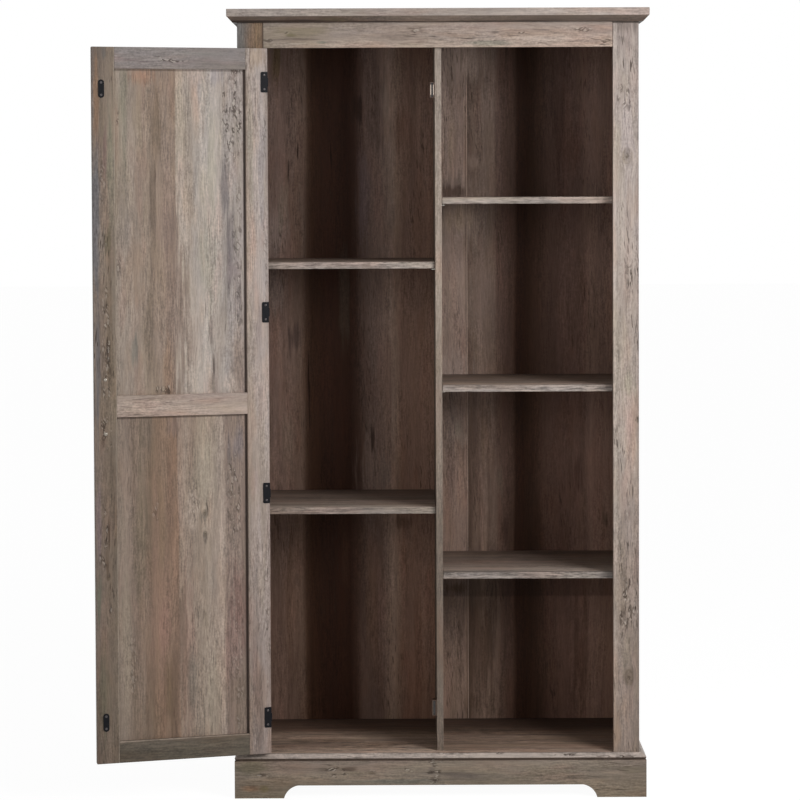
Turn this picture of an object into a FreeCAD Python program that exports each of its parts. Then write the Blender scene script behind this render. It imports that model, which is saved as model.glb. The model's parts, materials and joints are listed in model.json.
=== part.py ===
import FreeCAD, Part
import math
import os

# Tall storage cabinet: open shelves on the right, a framed door on the left bay.
# Millimetres. Origin on the floor, midway across the carcass and midway from
# the front of the face frame to the back of the back panel.
# +Z is up, -Y is the front, +X is to the right of someone facing the cabinet.

# Overall sizes
overall_height = 1900.0
carcass_width = 962.0
inside_depth = 370.0
base_height = 106.0

# Board thicknesses
board = 16.0
frame_thickness = 18.0
back_thickness = 4.0
crown_board_thickness = 18.0
base_board_thickness = 16.0

# Face frame
stile_width = 62.0
top_rail_drop = 60.0

# Crown
crown_overhang = 24.0
moulding_height = 14.0
moulding_soffit = 10.0

# Base boards: bevelled top, a shadow groove below it, and an arch between two feet
base_bevel = 9.5
groove_height = 6.5
groove_depth = 3.5
groove_ledge = 1.5
arch_height = 31.0
foot_width = 119.0
foot_curve_reach = 34.0
foot_curve_middle_reach_share = 0.3
foot_curve_middle_height_share = 0.6
centre_foot_width = 60.0

# Shelves, each with the clear height of the compartment under it
shelf_setback = 29.0
shelf_end_gap = 1.0
left_clear_heights = {"lower": 576.5, "upper": 578.5}
right_clear_heights = {"lower": 417.5, "middle": 438.5, "upper": 438.5}
pin_radius = 2.5
pin_hole_depth = 7.0
pin_reach = 8.0
pin_from_shelf_edge = 45.0

# Door
door_thickness = 18.0
door_stile_width = 53.0
door_rail_height = 51.0
door_panel_thickness = 4.0
panel_recess_inside = 8.0
panel_tongue = 6.0
panel_play = 1.0
door_width = 419.0
door_hinge_gap = 3.0
door_top_gap = 2.5
door_bottom_gap = 6.0
buffer_gap = 2.0
rest_opening = 165.5

# Hinges: a leaf on the face frame, a leaf that wraps the door's edge, and a pin
leaf_thickness = 1.6
leaf_height = 49.0
frame_leaf_width = 19.0
door_leaf_width = 16.5
wrap_height = 20.0
knuckle_height = 9.0
barrel_radius = 3.2
barrel_stand_off = 4.5
hinge_pin_radius = 1.5
hinge_pin_head_radius = 2.4
hinge_pin_head_height = 1.2
knuckle_gap = 0.3
hinge_inset_top = 80.5
hinge_inset_bottom = 88.0
hinge_from_middle = 217.0
hinge_screw_spacing = 34.0

# Magnetic catches on the divider and strike plates on the door
catch_inset = 98.5
catch_width = 12.0
catch_height = 38.0
catch_depth = 21.0
catch_flange_length = 13.0
catch_flange_thickness = 2.0
catch_wall = 2.0
pole_thickness = 1.6
pole_from_strike = 0.3
catch_screw_spacing = 22.0
strike_width = 14.0
strike_length = 43.0
strike_thickness = 1.5
strike_from_door_edge = 22.0
strike_screw_spacing = 29.0

# Door handle: a round bar on two posts
handle_hole_spacing = 128.0
handle_bar_radius = 5.0
handle_bar_length = 168.0
handle_post_radius = 4.0
handle_reach = 30.0
handle_end_ease = 1.5
handle_screw_radius = 2.0
handle_screw_in_post = 12.0
handle_washer_radius = 4.5
handle_washer_height = 2.2

# Fasteners, many-sided because they are small, repeated and mostly hidden
fastener_sides = 8
screw_radius = 1.5
screw_head_radius = 3.0
screw_head_height = 1.6
screw_head_top_share = 0.75
screw_length = 12.0
long_screw_radius = 2.0
long_screw_head_radius = 4.0
long_screw_head_height = 3.0
long_screw_length = 26.0
cam_radius = 7.5
cam_height = 12.0
cam_from_end = 34.0
cam_from_edge = 55.0
bolt_radius = 3.0
bolt_in_side = 10.0
dowel_radius = 3.0
dowel_length = 30.0
dowel_in_face = 9.0
frame_dowel_end_inset = 160.0
frame_dowel_count = 3
divider_dowel_inset = 70.0
top_rail_dowel_count = 2

# Clearances and small eases
clearance = 0.05
end_clearance = 0.5
board_ease = 0.8
metal_ease = 0.5
overrun = 5.0

# Planes and heights that the sizes above give
front = -(inside_depth + back_thickness) / 2
back_face = front + inside_depth
rear = back_face + back_thickness
frame_back = front + frame_thickness
half_width = carcass_width / 2
inner_half = half_width - board
opening_half = half_width - stile_width
crown_underside = overall_height - crown_board_thickness
soffit_height = crown_underside - moulding_height
opening_top = soffit_height - top_rail_drop
top_panel_underside = crown_underside - board
floor_underside = base_height - board
divider_front = front + door_thickness + buffer_gap
divider_half = board / 2
shelf_front = front + shelf_setback

# Places on the closed door
door_left = -opening_half + door_hinge_gap
door_right = door_left + door_width
door_bottom = base_height + door_bottom_gap
door_top = opening_top - door_top_gap
door_inside = front + door_thickness
door_middle = (door_bottom + door_top) / 2
pin_x = door_left + barrel_radius / 2
pin_y = front - barrel_stand_off

X_AXIS = FreeCAD.Vector(1, 0, 0)
Y_AXIS = FreeCAD.Vector(0, 1, 0)
Z_AXIS = FreeCAD.Vector(0, 0, 1)
ORIGIN = FreeCAD.Vector(0, 0, 0)

pieces = {}


def point(x, y, z):
    return FreeCAD.Vector(x, y, z)


def box(x0, x1, y0, y1, z0, z1):
    return Part.makeBox(x1 - x0, y1 - y0, z1 - z0, point(x0, y0, z0))


def plank(x0, x1, y0, y1, z0, z1, ease=board_ease):
    """A straight board with every arris eased."""
    shape = box(x0, x1, y0, y1, z0, z1)
    return shape.makeChamfer(ease, shape.Edges)


def rod(radius, length, start, direction):
    return Part.makeCylinder(radius, length, start, direction)


def ring(radius, centre, direction):
    """The corners of an outline with equal sides, square to a direction."""
    turn = FreeCAD.Rotation(Z_AXIS, direction)
    corners = []
    for index in range(fastener_sides):
        angle = 2 * math.pi * index / fastener_sides
        corner = point(radius * math.cos(angle), radius * math.sin(angle), 0)
        corners.append(centre + turn.multVec(corner))
    return corners


def flat_face(corners):
    return Part.Face(Part.makePolygon(corners + corners[:1]))


def peg(radius, length, start, direction):
    """A straight many-sided rod: a dowel or a shank, or the hole that one fits."""
    return flat_face(ring(radius, start, direction)).extrude(direction * length)


def taper(radius, end_radius, length, start, direction):
    """A many-sided head, or the sink for one, with flat faces all round."""
    near = ring(radius, start, direction)
    far = ring(end_radius, start + direction * length, direction)
    sides = [flat_face([near[index - 1], near[index], far[index], far[index - 1]])
             for index in range(fastener_sides)]
    shell = Part.makeShell(sides + [flat_face(near), flat_face(far)])
    return Part.makeSolid(shell)


def drill(shape, radius, depth, mouth, direction):
    """A blind or through hole from a point on a face, with an overrun outside."""
    start = mouth - direction * overrun
    return shape.cut(peg(radius, depth + overrun, start, direction))


def screw(seat, direction, radius=screw_radius, length=screw_length,
          head_radius=screw_head_radius, head_height=screw_head_height):
    """A tapered head that sits on the seat, and a shank that runs into the wood."""
    head = taper(head_radius * screw_head_top_share, head_radius, head_height,
                 seat - direction * head_height, direction)
    return head.fuse(peg(radius, length, seat, direction)).removeSplitter()


def solids(shapes):
    return Part.makeCompound(shapes)


def prism(points, height_vector):
    return flat_face(points).extrude(height_vector)


def wrapped_boards(profile, proud):
    """Front, left and right boards with one profile, mitred at the front corners.

    The profile is a list of (distance out from the carcass, height).
    """
    low = min(height for out, height in profile)
    high = max(height for out, height in profile)
    tall = Z_AXIS * (high - low)

    front_section = [point(-half_width - proud, front - out, z) for out, z in profile]
    front_board = prism(front_section, X_AXIS * (2 * (half_width + proud)))
    front_plan = prism([point(-half_width - proud, front - proud, low),
                        point(half_width + proud, front - proud, low),
                        point(half_width, front, low),
                        point(-half_width, front, low)], tall)

    side_section = [point(-half_width - out, front - proud, z) for out, z in profile]
    side_board = prism(side_section, Y_AXIS * (rear - front + proud))
    side_plan = prism([point(-half_width - proud, front - proud, low),
                       point(-half_width, front, low),
                       point(-half_width, rear, low),
                       point(-half_width - proud, rear, low)], tall)
    left_board = side_board.common(side_plan)
    return front_board.common(front_plan), left_board, left_board.mirror(ORIGIN, X_AXIS)


# Carcass boards

def make_carcass():
    for side, name in ((-1, "left_side_panel"), (1, "right_side_panel")):
        x0, x1 = sorted((side * half_width, side * inner_half))
        pieces[name] = plank(x0, x1, frame_back, back_face, 0, crown_underside)
    pieces["centre_divider"] = plank(-divider_half, divider_half, divider_front, back_face,
                                     base_height, top_panel_underside)
    floor = plank(-inner_half, inner_half, frame_back, back_face, floor_underside, base_height)
    lip = box(-opening_half, opening_half, front, frame_back + board,
              floor_underside, base_height)
    pieces["floor_panel"] = floor.fuse(lip).removeSplitter()
    pieces["top_panel"] = plank(-inner_half, inner_half, frame_back, back_face,
                                top_panel_underside, crown_underside)


def make_face_frame():
    for side, name in ((-1, "left_stile"), (1, "right_stile")):
        x0, x1 = sorted((side * half_width, side * opening_half))
        pieces[name] = plank(x0, x1, front, frame_back, 0, crown_underside)
    pieces["top_rail"] = plank(-opening_half, opening_half, front, frame_back,
                               opening_top, crown_underside)


def make_crown():
    pieces["crown_board"] = plank(-half_width - crown_overhang, half_width + crown_overhang,
                                  front - crown_overhang, rear,
                                  crown_underside, overall_height)
    profile = [(0, crown_underside), (crown_overhang - board_ease, crown_underside),
               (moulding_soffit, soffit_height), (0, soffit_height)]
    names = ("crown_moulding_front", "crown_moulding_left", "crown_moulding_right")
    for name, shape in zip(names, wrapped_boards(profile, crown_overhang)):
        pieces[name] = shape


def foot_arch():
    """The opening between the two feet: a level soffit and a hollow curve to each foot."""
    foot = half_width + base_board_thickness - foot_width
    crown = foot - foot_curve_reach
    middle = foot - foot_curve_reach * foot_curve_middle_reach_share
    middle_height = arch_height * foot_curve_middle_height_share
    y = front - base_board_thickness - overrun
    left = Part.Arc(point(-foot, y, 0), point(-middle, y, middle_height),
                    point(-crown, y, arch_height)).toShape()
    level = Part.makeLine(point(-crown, y, arch_height), point(crown, y, arch_height))
    right = Part.Arc(point(crown, y, arch_height), point(middle, y, middle_height),
                     point(foot, y, 0)).toShape()
    below = Part.makePolygon([point(foot, y, 0), point(foot, y, -overrun),
                              point(-foot, y, -overrun), point(-foot, y, 0)])
    outline = Part.Wire([left, level, right] + below.Edges)
    return Part.Face(outline).extrude(Y_AXIS * (base_board_thickness + 2 * overrun))


def make_base():
    proud = base_board_thickness
    bevel_foot = base_height - base_bevel
    groove_foot = bevel_foot - groove_height
    profile = [(0, 0), (proud, 0), (proud, groove_foot),
               (proud - groove_depth, groove_foot + groove_ledge), (proud, bevel_foot),
               (proud - base_bevel, base_height), (0, base_height)]
    front_board, left_board, right_board = wrapped_boards(profile, proud)
    pieces["base_front_board"] = front_board.cut(foot_arch())
    pieces["base_left_board"] = left_board
    pieces["base_right_board"] = right_board
    pieces["base_rear_rail"] = plank(-inner_half, inner_half, back_face - board, back_face,
                                     0, floor_underside)
    pieces["base_cross_rail"] = plank(-divider_half, divider_half, front, back_face - board,
                                      arch_height, floor_underside)
    foot_half = centre_foot_width / 2
    pieces["centre_foot"] = plank(-foot_half, foot_half, -foot_half, foot_half, 0, arch_height)


def make_back():
    inset = back_thickness / 2
    for side, name in ((-1, "back_panel_left"), (1, "back_panel_right")):
        x0, x1 = sorted((side * clearance, side * (half_width - inset)))
        pieces[name] = box(x0, x1, back_face, rear,
                           floor_underside - board, crown_underside - inset)


# Shelves and the pins they rest on

def shelf_heights(clear_heights):
    """Each shelf's name and the height of its underside, from the floor panel up."""
    level = base_height
    for name, clear in clear_heights.items():
        underside = level + clear
        yield name, underside
        level = underside + board


def make_bay(bay, x0, x1, left_wall, right_wall, clear_heights):
    pins = []
    rows = (shelf_front + pin_from_shelf_edge, back_face - pin_from_shelf_edge)
    for name, underside in shelf_heights(clear_heights):
        pieces["shelf_" + bay + "_" + name] = plank(
            x0 + shelf_end_gap, x1 - shelf_end_gap, shelf_front, back_face - shelf_end_gap,
            underside, underside + board)
        pin_height = underside - pin_radius - clearance
        for wall, x, inward in ((left_wall, x0, X_AXIS), (right_wall, x1, -X_AXIS)):
            for y in rows:
                mouth = point(x, y, pin_height)
                pieces[wall] = drill(pieces[wall], pin_radius + clearance,
                                     pin_hole_depth, mouth, -inward)
                start = mouth - inward * (pin_hole_depth - end_clearance)
                length = pin_hole_depth - end_clearance + pin_reach
                pins.append(peg(pin_radius, length, start, inward))
    pieces["shelf_pins_" + bay] = solids(pins)


def make_shelves():
    make_bay("left", -inner_half, -divider_half, "left_side_panel", "centre_divider",
             left_clear_heights)
    make_bay("right", divider_half, inner_half, "centre_divider", "right_side_panel",
             right_clear_heights)


# Cam fittings and dowels that hold the carcass together

def make_cam_fittings():
    cams, bolts = [], []
    for panel, mouth_z, bore, bolt_z in (
            ("floor_panel", floor_underside, Z_AXIS, floor_underside + board / 2),
            ("top_panel", crown_underside, -Z_AXIS, crown_underside - board / 2)):
        for side, wall in ((-1, "left_side_panel"), (1, "right_side_panel")):
            for y in (frame_back + cam_from_edge, back_face - cam_from_edge):
                centre = point(side * (inner_half - cam_from_end), y, mouth_z)
                inward = X_AXIS * -side
                end = point(side * inner_half, y, bolt_z)
                pieces[panel] = drill(pieces[panel], cam_radius + clearance,
                                      cam_height + end_clearance, centre, bore)
                pieces[panel] = drill(pieces[panel], bolt_radius + clearance,
                                      cam_from_end, end, inward)
                pieces[wall] = drill(pieces[wall], bolt_radius + clearance,
                                     bolt_in_side, end, -inward)
                cams.append(peg(cam_radius, cam_height, centre, bore))
                reach = bolt_in_side - end_clearance + cam_from_end - cam_radius - end_clearance
                bolts.append(peg(bolt_radius, reach,
                                 end - inward * (bolt_in_side - end_clearance), inward))
    pieces["cam_discs"] = solids(cams)
    pieces["cam_bolts"] = solids(bolts)


def make_dowels():
    """Each dowel sits a little way in a face and the rest in the edge that meets it."""
    dowels = []

    def join(face_piece, edge_piece, joint, direction):
        """The direction runs from the face into the edge."""
        bore = dowel_radius + clearance
        in_edge = dowel_length - dowel_in_face
        pieces[face_piece] = drill(pieces[face_piece], bore, dowel_in_face, joint, -direction)
        pieces[edge_piece] = drill(pieces[edge_piece], bore, in_edge, joint, direction)
        dowels.append(peg(dowel_radius, dowel_length - 2 * end_clearance,
                          joint - direction * (dowel_in_face - end_clearance), direction))

    span = crown_underside - 2 * frame_dowel_end_inset
    for side, name in ((-1, "left"), (1, "right")):
        for index in range(frame_dowel_count):
            z = frame_dowel_end_inset + span * index / (frame_dowel_count - 1)
            join(name + "_stile", name + "_side_panel",
                 point(side * (half_width - board / 2), frame_back, z), Y_AXIS)
    for y in (divider_front + divider_dowel_inset, back_face - divider_dowel_inset):
        join("floor_panel", "centre_divider", point(0, y, base_height), Z_AXIS)
        join("top_panel", "centre_divider", point(0, y, top_panel_underside), -Z_AXIS)
    gap = 2 * opening_half / top_rail_dowel_count
    for index in range(top_rail_dowel_count):
        x = -opening_half + gap * index + gap / 2
        join("top_rail", "top_panel",
             point(x, frame_back, crown_underside - board / 2), Y_AXIS)
    pieces["dowels"] = solids(dowels)


def make_base_screws():
    """Screws from inside, through the carcass into the base boards."""
    screws = []
    z = floor_underside / 2

    def fix(inner_piece, outer_piece, seat, direction, through):
        bore = long_screw_radius + clearance
        pieces[inner_piece] = drill(pieces[inner_piece], bore, through, seat, direction)
        pieces[outer_piece] = drill(pieces[outer_piece], bore,
                                    long_screw_length + end_clearance - through,
                                    seat + direction * through, direction)
        screws.append(screw(seat, direction, long_screw_radius, long_screw_length,
                            long_screw_head_radius, long_screw_head_height))

    for side, name in ((-1, "left"), (1, "right")):
        for y in (frame_back + cam_from_edge, back_face - cam_from_edge):
            fix(name + "_side_panel", "base_" + name + "_board",
                point(side * inner_half, y, z), X_AXIS * side, board)
        fix(name + "_stile", "base_front_board",
            point(side * (opening_half + inner_half) / 2, frame_back, z),
            -Y_AXIS, frame_thickness)
    pieces["base_screws"] = solids(screws)


# Door: two stiles, three rails and two thin panels held in grooves

def make_door():
    panel_front = door_inside - panel_recess_inside - door_panel_thickness
    panel_back = door_inside - panel_recess_inside
    groove = panel_tongue + panel_play
    inner_left = door_left + door_stile_width
    inner_right = door_right - door_stile_width
    half_rail = door_rail_height / 2

    def groove_cut(x0, x1, z0, z1):
        return box(x0, x1, panel_front, panel_back, z0, z1)

    whole = (door_bottom - overrun, door_top + overrun)
    hinge_stile = plank(door_left, inner_left, front, door_inside, door_bottom, door_top)
    pieces["door_hinge_stile"] = hinge_stile.cut(
        groove_cut(inner_left - groove, inner_left + overrun, *whole))
    latch_stile = plank(inner_right, door_right, front, door_inside, door_bottom, door_top)
    pieces["door_latch_stile"] = latch_stile.cut(
        groove_cut(inner_right - overrun, inner_right + groove, *whole))

    rails = (("door_bottom_rail", door_bottom, door_bottom + door_rail_height, (1,)),
             ("door_middle_rail", door_middle - half_rail, door_middle + half_rail, (-1, 1)),
             ("door_top_rail", door_top - door_rail_height, door_top, (-1,)))
    for name, z0, z1, grooved in rails:
        rail = plank(inner_left, inner_right, front, door_inside, z0, z1)
        tenons = groove_cut(inner_left - groove, inner_right + groove,
                            z0 + board_ease, z1 - board_ease)
        rail = rail.fuse(tenons)
        for edge in grooved:
            inner, outer = (z1 - groove, z1 + overrun) if edge > 0 else (z0 - overrun, z0 + groove)
            rail = rail.cut(groove_cut(inner_left - groove - overrun,
                                       inner_right + groove + overrun, inner, outer))
        pieces[name] = rail.removeSplitter()

    for name, z0, z1 in (
            ("door_lower_panel", door_bottom + door_rail_height, door_middle - half_rail),
            ("door_upper_panel", door_middle + half_rail, door_top - door_rail_height)):
        pieces[name] = box(inner_left - panel_tongue, inner_right + panel_tongue,
                           panel_front, panel_back, z0 - panel_tongue, z1 + panel_tongue)


# Hinges

def hinge_heights():
    return (door_top - hinge_inset_top, door_middle + hinge_from_middle,
            door_middle - hinge_from_middle, door_bottom + hinge_inset_bottom)


def leaf_plate(x0, x1, y0, y1, middle, corner_x):
    """A flat leaf whose two free corners, at corner_x, are rounded."""
    z0, z1 = middle - leaf_height / 2, middle + leaf_height / 2
    plate = box(x0, x1, y0, y1, z0, z1)
    corners = [edge for edge in plate.Edges
               if abs(edge.Length - (y1 - y0)) < clearance
               and abs(edge.BoundBox.Center.x - corner_x) < clearance]
    return plate.makeFillet(barrel_radius, corners)


def make_hinge(number, middle):
    half_wrap = wrap_height / 2
    leaf_front = front - leaf_thickness
    frame_edge = -opening_half
    hole_heights = (middle - hinge_screw_spacing / 2, middle + hinge_screw_spacing / 2)

    # The frame leaf lies on the stile and carries the outer two knuckles
    free_edge = frame_edge - frame_leaf_width
    leaf_edge = frame_edge + door_hinge_gap / 2
    leaf = leaf_plate(free_edge, leaf_edge, leaf_front, front, middle, free_edge)
    leaf = leaf.cut(box(frame_edge, leaf_edge + overrun, leaf_front - overrun,
                        front + overrun, middle - half_wrap - knuckle_gap,
                        middle + half_wrap + knuckle_gap))
    for base in (middle + half_wrap + knuckle_gap,
                 middle - half_wrap - knuckle_gap - knuckle_height):
        arm = prism([point(frame_edge - leaf_thickness, front, base),
                     point(leaf_edge, front, base),
                     point(pin_x, pin_y + barrel_radius, base),
                     point(pin_x, pin_y - barrel_radius, base),
                     point(frame_edge - leaf_thickness, leaf_front, base)],
                    Z_AXIS * knuckle_height)
        knuckle = rod(barrel_radius, knuckle_height, point(pin_x, pin_y, base), Z_AXIS)
        leaf = leaf.fuse(arm).fuse(knuckle)
    bottom = middle - half_wrap - knuckle_gap - knuckle_height
    bore = rod(hinge_pin_radius + clearance, leaf_height + overrun,
               point(pin_x, pin_y, bottom - overrun), Z_AXIS)
    leaf = leaf.cut(bore).removeSplitter()

    # The door leaf wraps from the inside face, round the edge, to the middle knuckle
    plate_right = door_left + door_leaf_width
    wing = leaf_plate(door_left, plate_right, door_inside, door_inside + leaf_thickness,
                      middle, plate_right)
    wrap = box(door_left - leaf_thickness, door_left, pin_y,
               door_inside + leaf_thickness, middle - half_wrap, middle + half_wrap)
    barrel = rod(barrel_radius, wrap_height, point(pin_x, pin_y, middle - half_wrap), Z_AXIS)
    wing = wing.fuse(wrap).fuse(barrel).cut(bore).removeSplitter()

    # Screws and their holes
    frame_screw_x = frame_edge - frame_leaf_width / 2
    door_screw_x = door_left + door_leaf_width / 2
    frame_screws, door_screws = [], []
    for z in hole_heights:
        seat = point(frame_screw_x, leaf_front, z)
        leaf = drill(leaf, screw_radius + clearance, leaf_thickness + overrun, seat, Y_AXIS)
        pieces["left_stile"] = drill(pieces["left_stile"], screw_radius + clearance,
                                     screw_length, point(frame_screw_x, front, z), Y_AXIS)
        frame_screws.append(screw(seat, Y_AXIS))
        seat = point(door_screw_x, door_inside + leaf_thickness, z)
        wing = drill(wing, screw_radius + clearance, leaf_thickness + overrun, seat, -Y_AXIS)
        pieces["door_hinge_stile"] = drill(pieces["door_hinge_stile"],
                                           screw_radius + clearance, screw_length,
                                           point(door_screw_x, door_inside, z), -Y_AXIS)
        door_screws.append(screw(seat, -Y_AXIS))

    pin_bottom = bottom
    pin_length = wrap_height + 2 * (knuckle_height + knuckle_gap)
    pin = rod(hinge_pin_radius, pin_length, point(pin_x, pin_y, pin_bottom), Z_AXIS)
    head = peg(hinge_pin_head_radius, hinge_pin_head_height,
               point(pin_x, pin_y, pin_bottom + pin_length), Z_AXIS)
    pieces["hinge_frame_leaf_" + str(number)] = leaf
    pieces["hinge_door_leaf_" + str(number)] = wing
    return frame_screws, door_screws, pin.fuse(head).removeSplitter()


def make_hinges():
    frame_screws, door_screws, pins = [], [], []
    for number, middle in enumerate(hinge_heights(), 1):
        on_frame, on_door, pin = make_hinge(number, middle)
        frame_screws += on_frame
        door_screws += on_door
        pins.append(pin)
    pieces["hinge_frame_screws"] = solids(frame_screws)
    pieces["hinge_door_screws"] = solids(door_screws)
    pieces["hinge_pins"] = solids(pins)


# Magnetic catches and strike plates

def catch_heights():
    return (("upper", door_top - catch_inset), ("lower", door_bottom + catch_inset))


def make_catch(name, middle, poles, magnets, screws):
    x1 = -divider_half
    x0 = x1 - catch_width
    z0, z1 = middle - catch_height / 2, middle + catch_height / 2
    nose = door_inside + strike_thickness + pole_from_strike
    y0 = divider_front
    body = box(x0, x1, y0, y0 + catch_depth, z0, z1)
    body = body.makeChamfer(metal_ease, body.Edges)
    flange = box(x1 - catch_flange_thickness, x1, y0 + metal_ease,
                 y0 + catch_depth + catch_flange_length, z0, z1)
    body = body.fuse(flange)
    pocket = (x0 + catch_wall, x1 - catch_wall, y0 - overrun,
              y0 + catch_depth - catch_wall, z0 + catch_wall, z1 - catch_wall)
    body = body.cut(box(*pocket)).removeSplitter()
    pocket_back = y0 + catch_depth - catch_wall
    for x in (x0 + catch_wall, x1 - catch_wall - pole_thickness):
        poles.append(box(x, x + pole_thickness, nose, pocket_back,
                         z0 + catch_wall, z1 - catch_wall))
    magnets.append(box(x0 + catch_wall + pole_thickness, x1 - catch_wall - pole_thickness,
                       y0 + catch_wall, pocket_back, z0 + catch_wall, z1 - catch_wall))
    y = y0 + catch_depth + catch_flange_length / 2
    for z in (middle - catch_screw_spacing / 2, middle + catch_screw_spacing / 2):
        seat = point(x1 - catch_flange_thickness, y, z)
        body = drill(body, screw_radius + clearance, catch_flange_thickness + overrun,
                     seat, X_AXIS)
        pieces["centre_divider"] = drill(pieces["centre_divider"], screw_radius + clearance,
                                         screw_length, point(x1, y, z), X_AXIS)
        screws.append(screw(seat, X_AXIS))
    pieces["magnetic_catch_" + name] = body


def make_strike(name, middle, screws):
    x = door_right - strike_from_door_edge
    half_straight = (strike_length - strike_width) / 2
    radius = strike_width / 2
    y0, y1 = door_inside, door_inside + strike_thickness
    plate = box(x - radius, x + radius, y0, y1, middle - half_straight, middle + half_straight)
    for z in (middle - half_straight, middle + half_straight):
        plate = plate.fuse(rod(radius, strike_thickness, point(x, y0, z), Y_AXIS))
    plate = plate.removeSplitter()
    for z in (middle - strike_screw_spacing / 2, middle + strike_screw_spacing / 2):
        mouth = point(x, y1, z)
        plate = plate.cut(taper(screw_head_radius + clearance, screw_radius + clearance,
                                strike_thickness, mouth, -Y_AXIS))
        head = taper(screw_head_radius, screw_radius, strike_thickness, mouth, -Y_AXIS)
        shank = peg(screw_radius, screw_length, point(x, y0, z), -Y_AXIS)
        screws.append(head.fuse(shank).removeSplitter())
        pieces["door_latch_stile"] = drill(pieces["door_latch_stile"],
                                           screw_radius + clearance,
                                           screw_length + end_clearance,
                                           point(x, y0, z), -Y_AXIS)
    pieces["strike_plate_" + name] = plate


def make_catches():
    poles, magnets, catch_screws, strike_screws = [], [], [], []
    for name, middle in catch_heights():
        make_catch(name, middle, poles, magnets, catch_screws)
        make_strike(name, middle, strike_screws)
    pieces["catch_pole_plates"] = solids(poles)
    pieces["catch_magnets"] = solids(magnets)
    pieces["catch_screws"] = solids(catch_screws)
    pieces["strike_screws"] = solids(strike_screws)


# Handle on the outside of the door

def make_handle():
    x = door_right - door_stile_width / 2
    bar_y = front - handle_reach + handle_bar_radius
    bar = rod(handle_bar_radius, handle_bar_length,
              point(x, bar_y, door_middle - handle_bar_length / 2), Z_AXIS)
    ends = [edge for edge in bar.Edges if len(edge.Vertexes) == 1]
    handle = bar.makeChamfer(handle_end_ease, ends)
    screws = []
    for z in (door_middle - handle_hole_spacing / 2, door_middle + handle_hole_spacing / 2):
        foot = point(x, front, z)
        handle = handle.fuse(rod(handle_post_radius, front - bar_y, foot, -Y_AXIS))
        seat = point(x, door_inside, z)
        bore = handle_screw_radius + clearance
        pieces["door_latch_stile"] = drill(pieces["door_latch_stile"], bore,
                                           door_thickness + overrun, seat, -Y_AXIS)
        screws.append((seat, foot))
    handle = handle.removeSplitter()
    shafts = []
    for seat, foot in screws:
        handle = drill(handle, handle_screw_radius + clearance,
                       handle_screw_in_post + end_clearance, foot, -Y_AXIS)
        shafts.append(screw(seat, -Y_AXIS, handle_screw_radius,
                            door_thickness + handle_screw_in_post,
                            handle_washer_radius, handle_washer_height))
    pieces["door_handle"] = handle
    pieces["handle_screws"] = solids(shafts)


def swing_door_open():
    """The door is built closed, then turned about its pins to where it stands open."""
    on_door = [name for name in pieces if name.startswith(("door_", "hinge_door_", "strike_"))]
    on_door.append("handle_screws")
    for name in on_door:
        shape = pieces[name].copy()
        shape.rotate(point(pin_x, pin_y, 0), Z_AXIS, -rest_opening)
        pieces[name] = shape


make_carcass()
make_face_frame()
make_crown()
make_base()
make_back()
make_shelves()
make_cam_fittings()
make_dowels()
make_base_screws()
make_door()
make_hinges()
make_catches()
make_handle()
swing_door_open()

os.makedirs("parts", exist_ok=True)
for name, shape in pieces.items():
    shape.exportStep("parts/" + name + ".step")
print(len(pieces), "pieces")
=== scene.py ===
import json
import math

import bpy
from mathutils import Matrix, Vector


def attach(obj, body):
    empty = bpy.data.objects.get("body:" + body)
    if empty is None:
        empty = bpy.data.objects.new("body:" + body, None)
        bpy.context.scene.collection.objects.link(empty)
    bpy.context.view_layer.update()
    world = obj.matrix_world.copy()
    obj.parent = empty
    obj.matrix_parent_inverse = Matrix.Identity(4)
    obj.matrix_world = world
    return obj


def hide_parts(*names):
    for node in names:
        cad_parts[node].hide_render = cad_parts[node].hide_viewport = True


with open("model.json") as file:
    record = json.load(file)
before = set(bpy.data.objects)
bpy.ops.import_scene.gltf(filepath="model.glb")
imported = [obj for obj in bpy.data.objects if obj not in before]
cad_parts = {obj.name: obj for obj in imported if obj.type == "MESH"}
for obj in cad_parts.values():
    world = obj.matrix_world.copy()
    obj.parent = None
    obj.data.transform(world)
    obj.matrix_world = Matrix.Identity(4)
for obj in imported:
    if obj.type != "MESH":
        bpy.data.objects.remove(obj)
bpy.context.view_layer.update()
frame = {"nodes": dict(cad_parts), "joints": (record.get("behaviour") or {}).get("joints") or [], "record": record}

bl_info = {
    "name": "Tall storage cabinet",
    "version": (1, 0, 0),
    "blender": (4, 5, 0),
    "location": "3D View > Sidebar > Cabinet",
    "description": "Weathered oak laminate, black ironwork and small fittings for a tall cabinet",
    "category": "Object",
}

MM = 0.001

# The door is stored open. These bring a place on it back to where it is when shut.
HINGE = frame["joints"][0]
HINGE_PLACE = Vector(HINGE["pos_m"])
SWING = math.radians(HINGE["range_deg"][0]) * HINGE["axis"][2]
DOOR_NODES = set(frame["record"]["behaviour"]["bodies"]["door"])
DOOR_OPENED = (Matrix.Translation(HINGE_PLACE) @ Matrix.Rotation(-SWING, 4, "Z")
               @ Matrix.Translation(-HINGE_PLACE))
DOOR_SHUT = DOOR_OPENED.inverted()


def shut_box(name):
    """Lowest and highest corner of a CAD node, with the door's nodes as if shut."""
    turn = DOOR_SHUT if name in DOOR_NODES else Matrix.Identity(4)
    corners = [turn @ vertex.co for vertex in frame["nodes"][name].data.vertices]
    return (Vector([min(c[i] for c in corners) for i in range(3)]),
            Vector([max(c[i] for c in corners) for i in range(3)]))


def height(name):
    """Height of a CAD node's middle, in millimetres."""
    low, high = shut_box(name)
    return (low.z + high.z) / 2 / MM


HINGE_HEIGHTS = [height("hinge_frame_leaf_%d" % number) for number in (1, 2, 3, 4)]
CATCH_HEIGHTS = [height("magnetic_catch_upper"), height("magnetic_catch_lower")]
HANDLE_HEIGHTS = [height("door_handle")]


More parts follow.
